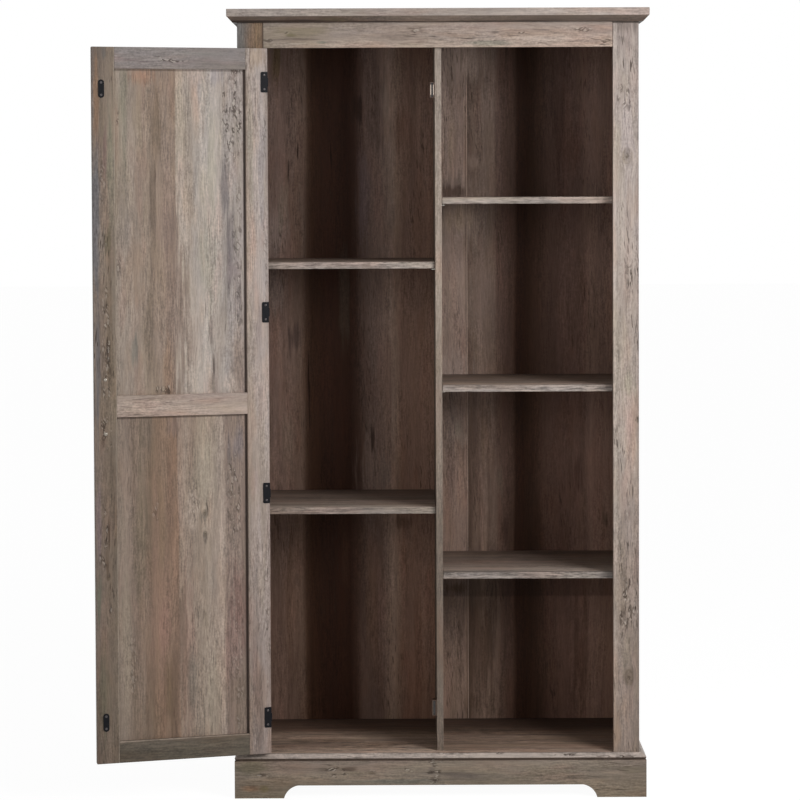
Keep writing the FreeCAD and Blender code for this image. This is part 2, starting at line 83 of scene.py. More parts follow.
def linear(channel):
    """One screen channel, 0 to 255, as a share of full light."""
    share = channel / 255
    return share / 12.92 if share <= 0.04045 else ((share + 0.055) / 1.055) ** 2.4


def tint(red, green, blue):
    """A colour as a screen shows it, 0 to 255, made linear."""
    return (linear(red), linear(green), linear(blue), 1.0)


def ramp(*stops):
    """Stops for a colour ramp from rows of share, red, green and blue."""
    return [(share, tint(red, green, blue)) for share, red, green, blue in stops]


# Settings that a user would change

class CabinetCamera(bpy.types.PropertyGroup):
    place: bpy.props.FloatVectorProperty(
        name="Place", description="Where the camera stands", subtype="TRANSLATION",
        unit="LENGTH", default=(-0.07905, -5.906, 1.473))
    tilt: bpy.props.FloatProperty(
        name="Tilt", description="How far the camera looks down", subtype="ANGLE",
        default=math.radians(1.95))
    roll: bpy.props.FloatProperty(
        name="Roll", description="Lean of the camera about its view", subtype="ANGLE",
        default=math.radians(0.2366))
    lens: bpy.props.FloatProperty(
        name="Lens", description="Focal length on a 36 mm wide sensor", unit="CAMERA",
        default=107.18)
    shift: bpy.props.FloatVectorProperty(
        name="Shift", description="Shift of the picture, as shares of its width", size=2,
        default=(-0.00723, -0.16447))


class CabinetLight(bpy.types.PropertyGroup):
    key_power: bpy.props.FloatProperty(
        name="Key", description="Power of the large lamp at the upper right", unit="POWER",
        default=66.0)
    fill_power: bpy.props.FloatProperty(
        name="Fill", description="Power of the lamp behind the camera", unit="POWER",
        default=22.0)
    sky: bpy.props.FloatProperty(
        name="Sky", description="Strength of the light from all round", default=0.20)
    floor: bpy.props.FloatVectorProperty(
        name="Floor", description="Colour of the floor", subtype="COLOR", size=4,
        default=(0.80, 0.80, 0.80, 1.0))


class CabinetOak(bpy.types.PropertyGroup):
    wander: bpy.props.FloatProperty(
        name="Wander", description="How far the grain strays sideways", unit="LENGTH",
        default=0.016)
    contrast: bpy.props.FloatProperty(
        name="Contrast", description="Depth of the grain's light and dark", default=1.0)
    check_tint: bpy.props.FloatVectorProperty(
        name="Checks", description="Colour of the open checks", subtype="COLOR", size=4,
        default=tint(62, 50, 42))
    bump: bpy.props.FloatProperty(
        name="Bump", description="Depth of the pressed grain", unit="LENGTH", default=0.0004)


class CabinetIron(bpy.types.PropertyGroup):
    enamel: bpy.props.FloatVectorProperty(
        name="Enamel", description="Colour of the black enamel", subtype="COLOR", size=4,
        default=tint(14, 14, 19))
    steel: bpy.props.FloatVectorProperty(
        name="Steel", description="Colour of the zinc plated steel", subtype="COLOR", size=4,
        default=tint(190, 186, 178))
    nail_head: bpy.props.FloatProperty(
        name="Nail head", description="Radius of the nails in the back", unit="LENGTH",
        default=0.0022)
    nail_pitch: bpy.props.FloatProperty(
        name="Nail pitch", description="Distance between the nails in the back",
        unit="LENGTH", default=0.15)
    nail_inset: bpy.props.FloatProperty(
        name="Nail inset", description="Distance of the nails from the back's side edges",
        unit="LENGTH", default=0.006)


# Shader nodes

class Channel:
    """One socket's value. A sum written on it adds the nodes that work it out."""

    def __init__(self, nodes, socket):
        self.nodes = nodes
        self.socket = socket

    def output(self, name):
        """Another output of the node that this value comes from."""
        return Channel(self.nodes, self.socket.node.outputs[name])

    def maths(self, operation, *values):
        return self.nodes.add("ShaderNodeMath", {"operation": operation},
                              dict(enumerate(values)))

    def __add__(self, other):
        return self.maths("ADD", self, other)

    def __radd__(self, other):
        return self.maths("ADD", other, self)

    def __sub__(self, other):
        return self.maths("SUBTRACT", self, other)

    def __rsub__(self, other):
        return self.maths("SUBTRACT", other, self)

    def __mul__(self, other):
        return self.maths("MULTIPLY", self, other)

    def __rmul__(self, other):
        return self.maths("MULTIPLY", other, self)

    def __truediv__(self, other):
        return self.maths("DIVIDE", self, other)

    def __rtruediv__(self, other):
        return self.maths("DIVIDE", other, self)

    def __abs__(self):
        return self.maths("ABSOLUTE", self)

    def sine(self):
        return self.maths("SINE", self)

    def fraction(self):
        return self.maths("FRACT", self)

    def at_least(self, other):
        return self.maths("MAXIMUM", self, other)

    def at_most(self, other):
        return self.maths("MINIMUM", self, other)

    def rise(self, low, high, first=0.0, last=1.0):
        """first below low, last above high, and a smooth step between them."""
        return self.nodes.add(
            "ShaderNodeMapRange", {"interpolation_type": "SMOOTHSTEP"},
            {"Value": self, "From Min": low, "From Max": high, "To Min": first,
             "To Max": last})


class Nodes:
    """A node tree, and the ways to add to it."""

    def __init__(self, tree):
        self.tree = tree

    def feed(self, socket, value):
        if isinstance(value, Channel):
            self.tree.links.new(value.socket, socket)
        elif hasattr(socket.default_value, "__len__") and hasattr(value, "__len__"):
            socket.default_value = tuple(value)[:len(socket.default_value)]
        else:
            socket.default_value = value

    def add(self, kind, settings=None, values=None, output=0):
        """A new node with its settings, and the values or channels that feed it."""
        made = self.tree.nodes.new(kind)
        for name, setting in (settings or {}).items():
            if name == "stops":
                self.set_stops(made.color_ramp, setting)
            else:
                setattr(made, name, setting)
        for key, value in (values or {}).items():
            self.feed(made.inputs[key], value)
        return Channel(self, made.outputs[output])

    @staticmethod
    def set_stops(colour_ramp, stops):
        while len(colour_ramp.elements) < len(stops):
            colour_ramp.elements.new(1.0)
        for element, (place, colour) in zip(colour_ramp.elements, stops):
            element.position = place
            element.color = colour

    def seen(self):
        """1 for rays that show the surroundings themselves, 0 for rays that light things."""
        camera = self.add("ShaderNodeLightPath", output="Is Camera Ray")
        glossy = camera.output("Is Glossy Ray")
        return camera.at_least(glossy).at_least(camera.output("Is Transmission Ray"))

    def noise(self, x, y, z, detail=2.0, rough=0.5):
        where = self.add("ShaderNodeCombineXYZ", None, {"X": x, "Y": y, "Z": z})
        return self.add("ShaderNodeTexNoise", None,
                        {"Vector": where, "Scale": 1.0, "Detail": detail,
                         "Roughness": rough})

    def mix(self, factor, first, second, blend="MIX"):
        return self.add("ShaderNodeMix", {"data_type": "RGBA", "blend_type": blend},
                        {0: factor, 6: first, 7: second}, output=2)

    def scaled(self, colour, factor):
        return self.add("ShaderNodeVectorMath", {"operation": "SCALE"},
                        {0: colour, "Scale": factor})

    def length(self, vector):
        return self.add("ShaderNodeVectorMath", {"operation": "LENGTH"}, {0: vector},
                        output="Value")


class Finish(Nodes):
    """A material, and the nodes that make it."""

    def __init__(self, name):
        self.material = bpy.data.materials.new(name)
        self.material.use_nodes = True
        super().__init__(self.material.node_tree)
        self.surface = self.tree.nodes["Principled BSDF"]

    def place(self, turned=False):
        """The point on the object as three channels, turned back with the door shut."""
        where = self.add("ShaderNodeTexCoord", output="Object")
        if turned:
            where = self.add("ShaderNodeVectorRotate", {"rotation_type": "Z_AXIS"},
                             {"Vector": where, "Center": HINGE_PLACE, "Angle": SWING})
        x = self.add("ShaderNodeSeparateXYZ", None, {"Vector": where})
        return [x, x.output("Y"), x.output("Z")]

    def mottle(self, rate, detail=2.0):
        """Noise with the same rate in every direction."""
        x, y, z = self.place()
        return self.noise(x * rate, y * rate, z * rate, detail)

    def brushed(self, rate):
        """Noise drawn out into fine upright lines."""
        x, y, z = self.place()
        return self.noise(x * rate, y * rate, z * rate * 0.2)

    def shaded(self, colour, roughness, relief=None, depth=0.0, metallic=0.0, gloss=None):
        """The material with its colour, its shine and the height of its relief."""
        self.feed(self.surface.inputs["Base Color"], colour)
        self.feed(self.surface.inputs["Roughness"], roughness)
        self.surface.inputs["Metallic"].default_value = metallic
        if gloss is not None:
            self.surface.inputs["Specular IOR Level"].default_value = gloss
        if relief is not None:
            bump = self.add("ShaderNodeBump", None,
                            {"Strength": 1.0, "Distance": depth, "Height": relief})
            self.feed(self.surface.inputs["Normal"], bump)
        return self.material


def dress(name, material):
    """Give a CAD node a finish. Its shape stays as it is."""
    node = frame["nodes"][name]
    node.data.materials.clear()
    node.data.materials.append(material)


# Weathered oak laminate

# Casts over the print: each multiplies the board's own colour where it lies.
WARM = (1.00, 0.89, 0.79, 1.0)
OLIVE = (0.93, 0.92, 0.83, 1.0)
ROSE = (1.05, 0.94, 0.93, 1.0)
SLATE = (0.90, 0.92, 0.96, 1.0)
KNOT_CAST = (0.78, 0.74, 0.60, 1.0)
LIGHT_FLECK = tint(206, 196, 184)

# Layers of the grain: waves per metre along the board and across it, step of the noise,
# its detail, and how far from its middle the noise reaches full light and dark.
GRAIN = {
    "broad": (0.8, 17.0, 3.1, 2.0, 0.16),
    "bands": (3.4, 62.0, 5.7, 3.0, 0.16),
    "strands": (14.0, 150.0, 7.9, 2.0, 0.16),
    "fibres": (38.0, 330.0, 9.3, 2.0, 0.16),
    "hairs": (60.0, 1100.0, 10.9, 1.0, 0.25),
    "grit": (170.0, 250.0, 11.7, 2.0, 0.20),
    "rough": (4.5, 26.0, 13.9, 2.0, 0.12),
}


class OakPrint(Finish):
    """The oak print of one board.

    axes names the directions along the grain, across it and through the board. A folded
    print runs on round the board's edges. Places on it are in millimetres.
    """

    def __init__(self, node, axes, seed, folded):
        super().__init__(node + "_oak")
        self.settings = bpy.context.scene.cabinet_oak
        self.seed = seed
        self.low, self.high = shut_box(node)
        point = dict(zip("xyz", self.place(node in DOOR_NODES)))
        self.along, self.across, self.through = (point[axis] for axis in axes)
        self.lengthwise, self.crosswise, inward = ("xyz".index(axis) for axis in axes)
        face = self.high if node in DOOR_NODES else self.low
        self.side = self.across + self.through - face[inward] if folded else self.across
        drift = self.stretched(1.3, 7.0, 0.0)
        waves = self.stretched(7.0, 24.0, 1.3)
        wander = self.settings.wander
        self.bent = self.side + (drift - 0.5) * wander + (waves - 0.5) * wander * 0.3

    def stretched(self, rate_along, rate_across, step, detail=1.0, rough=0.5):
        """Noise drawn out along straight grain."""
        return self.noise(self.along * rate_along, self.side * rate_across,
                          self.seed + step, detail, rough)

    def grain(self, name):
        """One layer of the bent grain, spread over 0 to 1."""
        rate_along, rate_across, step, detail, spread = GRAIN[name]
        made = self.noise(self.along * rate_along, self.bent * rate_across,
                          self.seed + step, detail)
        return made.rise(0.5 - spread, 0.5 + spread)

    def reach(self, place, centre, half_length, half_width):
        """Distance from a place on the board, in half lengths and half widths."""
        where = self.add("ShaderNodeCombineXYZ", None, {"X": self.along, "Y": self.bent})
        return self.length(self.add(
            "ShaderNodeMapping", {"vector_type": "TEXTURE"},
            {"Vector": where, "Location": (place * MM, centre * MM, 0.0),
             "Scale": (half_length * MM, half_width * MM, 1.0)}))

    def bend_round(self, knots):
        """Draw the grain in towards each knot. Returns how dark their rings are."""
        shade = 0.0
        for place, centre, radius in knots:
            distance = self.reach(place, centre, radius * 1.7, radius)
            pull = (self.bent - centre * MM) * 0.6
            self.bent = self.bent - (1 - distance.rise(0.2, 3.0)) * pull
            ring = (distance * 10.0).sine() * 0.3 + 0.7
            shade = shade + distance.rise(0.2, 1.4, 1.0, 0.0) * ring
        return shade

    def banded(self, tints, ends, stray):
        """The tints across the board, times those along it."""
        width = self.high[self.crosswise] - self.low[self.crosswise]
        share = (self.bent - self.low[self.crosswise]) / width + stray
        colour = self.add("ShaderNodeValToRGB", {"stops": tints}, {"Fac": share})
        if ends:
            length = self.high[self.lengthwise] - self.low[self.lengthwise]
            share = (self.along - self.low[self.lengthwise]) / length
            fade = self.add("ShaderNodeValToRGB", {"stops": ends}, {"Fac": share})
            colour = self.mix(1.0, colour, fade, blend="MULTIPLY")
        return colour

    def cast(self, colour, hue):
        """Slow shifts of hue over the board."""
        tone = self.stretched(3.6, 18.0, 12.3, detail=3.0, rough=0.6)
        second = self.stretched(4.8, 23.0, 14.9, detail=2.0, rough=0.6)
        for amount, cast in ((tone, WARM), (1 - tone, OLIVE), (second, ROSE),
                             (1 - second, SLATE)):
            colour = self.mix(amount.rise(0.50, 0.68) * hue, colour, cast, blend="MULTIPLY")
        return colour

    def with_stains_and_painted_light(self, colour, stains_and_painted_light, ragged):
        """Soft patches of staining with ragged edges, and soft patches of painted light and painted shade."""
        for place, centre, half_length, half_width, print_or_light_tint, strength in stains_and_painted_light:
            distance = self.reach(place, centre, half_length, half_width)
            mask = (distance + ragged).rise(0.3, 1.3, strength, 0.0)
            colour = self.mix(mask, colour, tint(*print_or_light_tint))
        return colour

    def lined(self, colour, lines):
        """Straight lines over the whole board: print lines and seams, and painted shadows and highlights."""
        for direction, place, half_width, print_or_light_tint, strength in lines:
            offset = abs((self.along if direction == "along" else self.side) - place * MM)
            mask = offset.rise(half_width * MM * 0.7, half_width * MM, strength, 0.0)
            colour = self.mix(mask, colour, tint(*print_or_light_tint))
        return colour

    def checked(self, amount):
        """Short open checks, a little aslant, in clusters."""
        cluster = self.stretched(3.2, 14.0, 15.1)
        slant = self.bent + self.along * 0.07
        slits = self.noise(self.along * 32.0, slant * 340.0, self.seed + 17.7, detail=1.0)
        return slits.rise(0.60, 0.69) * cluster.rise(0.53, 0.66) * amount

    def crackle(self, patches, ragged):
        """Cracks round small islands, and the light flecks beside them."""
        area = 0.0
        for place, centre, half_length, half_width, strength in patches:
            distance = self.reach(place, centre, half_length, half_width)
            area = (distance + ragged).rise(0.5, 1.2, strength, 0.0).at_least(area)
        dots = self.stretched(95.0, 300.0, 21.3, detail=2.0, rough=0.7)
        where = self.add("ShaderNodeCombineXYZ", None,
                         {"X": self.along * 62.0 + dots,
                          "Y": self.bent * 150.0 + dots * 1.6, "Z": self.seed})
        gap = self.add("ShaderNodeTexVoronoi", {"feature": "DISTANCE_TO_EDGE"},
                       {"Vector": where, "Scale": 1.0})
        shown = self.stretched(34.0, 90.0, 22.9).rise(0.46, 0.56) * area
        cracks = gap.rise(0.05, 0.17, 1.0, 0.0) * shown * 0.85
        flecks = gap.rise(0.16, 0.24) * gap.rise(0.30, 0.44, 1.0, 0.0) * shown * 0.5
        return cracks, flecks

    def hardboard(self):
        """Bare brown hardboard with a row of flush nail heads along each side edge."""
        iron = bpy.context.scene.cabinet_iron
        weave = self.noise(self.along * 420.0, self.across * 420.0, 3.1, detail=3.0, rough=0.7)
        cloud = self.noise(self.along * 9.0, self.across * 9.0, 5.3, detail=3.0)
        fibre = self.noise(self.along * 90.0, self.across * 700.0, 7.7)
        colour = self.mix(cloud.rise(0.2, 0.8), tint(158, 124, 90), tint(170, 136, 101))
        colour = self.scaled(colour, 0.72 + weave * 0.34 + fibre * 0.20)
        nails_up = ((self.along - self.low.z) / iron.nail_pitch).fraction()
        up = (nails_up - 0.5) * iron.nail_pitch
        middle = (self.low.x + self.high.x) / 2
        nail_row = (self.high.x - self.low.x) / 2 - iron.nail_inset
        over = abs(self.across - middle) - nail_row
        gap = self.length(self.add("ShaderNodeCombineXYZ", None, {"X": up, "Y": over}))
        rim = gap.rise(iron.nail_head, iron.nail_head * 1.6, 0.5, 0.0)
        colour = self.mix(rim, colour, tint(60, 42, 28))
        head = gap.rise(iron.nail_head * 0.8, iron.nail_head, 1.0, 0.0)
        return self.mix(head, colour, tint(148, 144, 138))


def oak(node, axes, tints, seed, ends=None, stains_and_painted_light=(), knots=(), crazed=(), lines=(),
        folded=True, bare=None, blur=0.05, checks=0.4, streaks=1.0, hue=0.6, gloss=0.3):
    """Put printed oak on one board.

    tints are (share across the board, colour); ends are (share along it, colour) and
    multiply them. On some boards they hold painted light and shade. Rows of staining
    and painted light are as in the tables below, knots (along, across, radius),
    crazed patches (along, across, half length, half width, strength), and lines
    (direction, place, half width, colour, strength) straight; some lines are painted
    shadows and highlights. Past the depth bare there is no print. blur is how far the
    tints stray across, as a share of the width. checks, streaks and hue are the strengths
    of the open checks, the grain and the shifts of hue.
    """
    finish = OakPrint(node, axes, seed, folded)
    knot_shade = finish.bend_round(knots)
    broad, bands, strands, fibres, hairs, grit, rough = (finish.grain(name) for name in GRAIN)
    ragged = (bands - 0.5) * 0.6 + (strands - 0.5) * 0.4

    colour = finish.banded(tints, ends, (broad - 0.5) * blur)
    colour = finish.cast(colour, hue)
    if knots:
        colour = finish.mix(knot_shade * 0.8, colour, KNOT_CAST, blend="MULTIPLY")
    colour = finish.lined(finish.with_stains_and_painted_light(colour, stains_and_painted_light, ragged), lines)
    wide = (broad - 0.5) * 0.20 + (bands - 0.5) * 0.20 + (strands - 0.5) * 0.11
    narrow = (fibres - 0.5) * (rough * 0.22 + 0.17)
    specks = (hairs - 0.5) * 0.10 + (grit - 0.5) * (rough * 0.20 + 0.09)
    shade = (wide + narrow) * streaks + specks
    colour = finish.scaled(colour, shade * finish.settings.contrast + 1)

    split = finish.checked(checks)
    if knots:
        split = split + knot_shade * grit.rise(0.4, 0.6) * 0.6
    if crazed:
        cracks, flecks = finish.crackle(crazed, ragged)
        split = split + cracks
    split = split.at_most(1.0)
    colour = finish.mix(split, colour, finish.settings.check_tint)
    if crazed:
        colour = finish.mix(flecks, colour, LIGHT_FLECK)

    relief = fibres * 0.5 + strands * 0.3 - split * 0.9
    roughness = 0.58 + (fibres - 0.5) * 0.14 + split * 0.2
    if bare is not None:
        unprinted = finish.through.rise(bare * MM, (bare + 0.2) * MM)
        colour = finish.mix(unprinted, colour, finish.hardboard())
        roughness = roughness + unprinted * 0.22
    dress(node, finish.shaded(colour, roughness, relief, finish.settings.bump, gloss=gloss))


class OakBoards:
    """Shared by the operators that put oak on a list of boards.

    boards are rows of node, axes, tints across the board, seed and the other values of oak.
    """
    bl_options = {"REGISTER", "UNDO"}
    boards = ()

    def execute(self, context):
        for node, axes, tints, seed, details in self.boards:
            oak(node, axes, tints, seed, **details)
        return {"FINISHED"}


# Stains in the print, and in some rows of the right stile's and the back panels' tables,
# painted light and painted shade: place along the grain and across it, half length and
# half width, all in millimetres, then the colour and its strength.

LATCH_STILE_STAINS = (
    (1732, -44, 9, 1.2, (66, 54, 52), 0.9),
    (1725, -40, 7, 1.0, (66, 54, 52), 0.8),
    (1680, -5, 103, 7, (156, 124, 99), 0.8),
    (1411, -5, 152, 9, (114, 114, 120), 0.7),
    (1791, -27, 20, 7, (97, 97, 97), 0.5),
    (1563, -41, 147, 10, (137, 133, 114), 0.6),
    (1563, -27.1, 61, 5, (129, 103, 97), 0.6),
    (1347, -32, 34, 10, (103, 97, 76), 0.7),
    (1140, -35, 147, 10, (131, 112, 93), 0.5),
    (1023, -6, 147, 7, (97, 97, 103), 0.6),
    (1088, -32.5, 39, 3, (78, 63, 53), 0.7),
    (786, -37, 74, 10, (116, 100, 85), 0.6),
    (692, -5.6, 86, 6, (131, 113, 113), 0.7),
    (661, -31.3, 54, 3, (76, 57, 41), 0.8),
    (583, -26, 34, 7, (85, 65, 46), 0.6),
    (288, -19, 147, 15, (107, 100, 83), 0.7),
    (503, -6, 61, 7, (92, 100, 85), 0.5),
    (1352, -18, 34, 9, (150, 138, 128), 0.6),
)
HINGE_STILE_STAINS = (
    (1785, -393, 29, 20, (181, 160, 141), 0.8),
    (1563, -402, 172, 10, (173, 162, 160), 0.6),
    (1563, -375, 147, 7, (158, 150, 135), 0.5),
    (1145, -394, 49, 10, (154, 139, 135), 0.5),
    (773, -399, 196, 12, (164, 148, 133), 0.5),
    (243, -393, 98, 12, (142, 122, 111), 0.6),
)
UPPER_PANEL_STAINS = (
    (1230, -192, 190, 24, (152, 130, 117), 0.6),
    (1112, -238, 70, 26, (160, 142, 130), 0.5),
    (1658, -71, 135, 12, (141, 135, 118), 0.7),
    (1738, -117, 24, 24, (177, 137, 114), 0.7),
    (1658, -111, 98, 7, (167, 148, 127), 0.6),
    (1599, -149, 86, 12, (127, 108, 89), 0.6),
    (1457, -141, 74, 12, (118, 101, 87), 0.6),
    (1445, -176, 98, 12, (158, 135, 122), 0.5),
    (1502, -145.8, 20, 3, (89, 72, 61), 0.7),
    (1138, -131, 98, 12, (131, 114, 99), 0.5),
    (1042, -173, 74, 15, (158, 129, 108), 0.6),
    (1091, -93, 39, 10, (124, 124, 116), 0.6),
    (1246, -189, 34, 7, (118, 97, 84), 0.6),
    (1006, -202, 54, 7, (118, 101, 89), 0.6),
    (1445, -222, 318, 15, (175, 158, 143), 0.5),
    (1706, -252, 54, 7, (158, 150, 148), 0.6),
    (1742, -289, 29, 17, (175, 165, 165), 0.7),
    (1540, -282, 147, 12, (186, 177, 162), 0.7),
    (1616, -261.2, 29, 4, (127, 114, 106), 0.7),
    (1468, -311, 61, 10, (129, 120, 120), 0.7),
    (1325, -327, 110, 12, (122, 112, 112), 0.7),
    (1206, -338, 61, 10, (129, 120, 120), 0.6),
    (1297, -271, 74, 20, (158, 154, 141), 0.5),
    (1183, -265.4, 29, 3, (101, 89, 82), 0.7),
    (1130, -277.1, 34, 5, (129, 114, 106), 0.6),
    (1049, -286.1, 24, 2, (76, 63, 57), 0.9),
    (1001, -279, 29, 10, (124, 112, 101), 0.7),
    (1111, -303, 98, 15, (177, 162, 150), 0.6),
    (1062, -337, 86, 12, (143, 124, 112), 0.6),
    (1178, -202, 225, 21, (146, 127, 115), 0.75),
    (1375, -172, 52, 26, (138, 119, 108), 0.7),
    (1005, -317, 30, 20, (205, 187, 174), 0.6),
    (1277, -334, 40, 20, (149, 134, 132), 0.6),
)
LOWER_PANEL_STAINS = (
    (430, -150, 170, 40, (160, 127, 112), 0.4),
    (400, -330, 120, 22, (146, 116, 108), 0.5),
    (901, -120, 54, 20, (120, 105, 92), 0.7),
    (379, -70, 196, 10, (155, 140, 124), 0.7),
    (687, -106, 221, 15, (118, 105, 87), 0.6),
    (638, -139, 221, 10, (148, 121, 104), 0.6),
    (427, -159, 59, 20, (152, 120, 106), 0.6),
    (732, -178, 110, 12, (131, 105, 89), 0.6),
    (278, -177, 110, 15, (109, 89, 68), 0.7),
    (281, -124, 98, 15, (122, 100, 83), 0.5),
    (395, -221, 196, 15, (164, 135, 122), 0.6),
    (801, -263, 123, 24, (174, 161, 144), 0.6),
    (691, -255, 17, 9, (116, 107, 96), 0.7),
    (638, -262, 15, 7, (113, 102, 92), 0.7),
    (710, -264.5, 24, 2, (70, 59, 50), 0.9),
    (859, -336, 44, 20, (133, 122, 122), 0.7),
    (486, -338, 110, 20, (133, 105, 96), 0.7),
    (304, -228, 74, 12, (129, 122, 111), 0.6),
    (272, -276, 123, 17, (161, 148, 131), 0.6),
    (244, -336, 86, 20, (126, 109, 92), 0.5),
    (564, -206, 123, 7, (164, 146, 129), 0.4),
    (224, -183.8, 15, 2, (65, 46, 33), 0.8),
    (704, -228, 48, 20, (188, 169, 154), 0.8),
    (908, -187, 25, 20, (133, 112, 101), 0.7),
    (335, -197, 200, 23, (124, 101, 86), 0.6),
)
RIGHT_STILE_STAINS_AND_SHADE = (
    # The first two rows are painted shade just under the crown moulding.
    (1850, 450, 60, 40, (152, 139, 133), 0.7),
    (1866, 450, 26, 44, (120, 108, 101), 0.75),
    (1656, 428, 50, 16, (160, 147, 142), 0.5),
    (1608, 450, 74, 15, (181, 168, 166), 0.5),
    (1368, 441, 147, 10, (190, 176, 165), 0.5),
    (995, 455, 34, 20, (168, 159, 140), 0.6),
    (899, 457, 39, 10, (195, 167, 156), 0.6),
    (911, 478.6, 7, 5, (104, 91, 78), 0.8),
    (739, 465.2, 15, 2, (105, 92, 83), 0.9),
    (710, 451.9, 10, 2, (110, 95, 86), 0.7),
    (681, 456.7, 20, 3, (128, 110, 101), 0.7),
    (742, 447, 54, 12, (187, 163, 152), 0.4),
    (512, 447, 44, 7, (116, 101, 89), 0.5),
    (446, 440, 20, 7, (103, 88, 76), 0.5),
    (147, 427, 29, 10, (160, 136, 116), 0.5),
    (293, 454, 20, 10, (118, 104, 91), 0.6),
    (354, 449, 49, 10, (149, 136, 120), 0.5),
    (1224, 452, 49, 10, (148, 135, 125), 0.5),
    (1260, 464.5, 20, 2, (122, 110, 101), 0.8),
    (1080, 435, 98, 7, (160, 148, 135), 0.5),
)
FRIEZE_STAINS = (
    (-330, 1848, 83, 12, (138, 126, 104), 0.6),
    (-354, 1841.1, 15, 5, (104, 96, 66), 0.6),
    (-306, 1829, 74, 3, (96, 82, 72), 0.6),
    (-340, 1819.5, 34, 3, (178, 164, 150), 0.7),
    (-277, 1821.7, 15, 5, (120, 126, 112), 0.5),
    (-184, 1848.7, 12, 1, (104, 90, 80), 0.7),
    (-103, 1850, 74, 17, (152, 134, 122), 0.5),
    (-59, 1849, 15, 7, (112, 96, 84), 0.6),
    (29, 1850.3, 44, 1, (116, 100, 92), 0.7),
    (72, 1831, 17, 2, (82, 66, 58), 0.8),
    (89, 1821.4, 4, 2, (70, 58, 50), 0.8),
    (120, 1820, 44, 6, (140, 138, 124), 0.6),
    (137, 1843.8, 12, 2, (104, 90, 84), 0.7),
    (245, 1849.4, 20, 2, (108, 94, 88), 0.6),
    (283, 1840.9, 15, 2, (118, 104, 96), 0.6),
    (364, 1833, 39, 12, (160, 146, 138), 0.4),
    (-43, 1849, 18, 14, (126, 110, 99), 0.6),
)
PLINTH_STAINS = (
    (-455, 75, 39, 22, (114, 106, 84), 0.6),
    (-460, 21.2, 24, 6, (141, 106, 79), 0.6),
    (-426, 21, 10, 7, (121, 108, 66), 0.5),
    (-363, 79, 64, 10, (139, 119, 106), 0.5),
    (-279, 64.2, 20, 6, (92, 79, 70), 0.6),
    (-219, 66.4, 20, 6, (86, 70, 59), 0.7),
    (-166, 56.4, 12, 5, (92, 79, 66), 0.6),
    (-146, 39, 123, 7, (114, 117, 110), 0.5),
    (-21, 68, 10, 12, (101, 90, 84), 0.5),
    (192, 77, 64, 7, (143, 125, 110), 0.4),
    (288, 72, 44, 10, (141, 119, 106), 0.5),
    (413, 58.9, 34, 5, (165, 147, 130), 0.6),
    (399, 22.4, 22, 2, (92, 81, 70), 0.7),
    (360, 46.9, 54, 4, (101, 90, 79), 0.5),
    (462, 66, 29, 12, (130, 119, 99), 0.4),
    (47, 53, 44, 7, (95, 84, 79), 0.5),
)
BACK_LEFT_STAINS_AND_PAINTED_LIGHT = (
    # The first six rows are painted light and painted shade on the bays: lighter just above and below the upper
    # shelf by the left side, round the lower shelf and over the middle bay, darker over the upper bay and over the
    # lowest bay by the left side.
    (1672, -156, 120, 34, (112, 92, 84), 0.6),
    (752, -160, 110, 40, (162, 138, 126), 0.6),
    (1365, -412, 60, 34, (152, 134, 126), 0.7),
    (1212, -414, 60, 34, (150, 132, 124), 0.7),
    (300, -420, 230, 55, (98, 78, 68), 0.5),
    (1200, -150, 210, 40, (150, 128, 117), 0.4),
    (1794, -410, 49, 12, (105, 89, 59), 0.6),
    (1569, -355.6, 22, 2, (49, 34, 29), 0.9),
    (1518, -378.9, 24, 2, (52, 40, 35), 0.8),
    (1429, -392, 74, 12, (145, 129, 115), 0.6),
    (1556, -268.8, 44, 2, (15, 8, 4), 0.9),
    (1683, -128, 88, 10, (143, 128, 117), 0.6),
    (1441, -183, 110, 17, (128, 110, 110), 0.6),
    (1624, -87, 64, 17, (117, 88, 73), 0.6),
    (1185, -235, 147, 15, (85, 71, 60), 0.7),
    (1089, -366, 34, 20, (80, 65, 61), 0.7),
    (955, -327.1, 103, 2, (33, 18, 12), 0.9),
    (827, -385, 98, 20, (139, 119, 105), 0.5),
    (954, -126, 172, 12, (154, 124, 110), 0.6),
    (826, -164.9, 34, 5, (62, 46, 39), 0.8),
    (1108, -43, 59, 10, (146, 113, 95), 0.5),
    (748, -134, 54, 20, (150, 132, 121), 0.5),
    (414, -380, 147, 20, (122, 95, 79), 0.5),
    (413, -169, 172, 15, (132, 102, 84), 0.5),
    (517, -238, 98, 12, (80, 56, 42), 0.5),
    (284, -47, 147, 15, (132, 95, 77), 0.4),
    # Painted shade just below the lower shelf.
    (614, -91, 20, 30, (104, 80, 66), 0.7),
    (1676, -194, 30, 14, (50, 33, 26), 0.7),
)
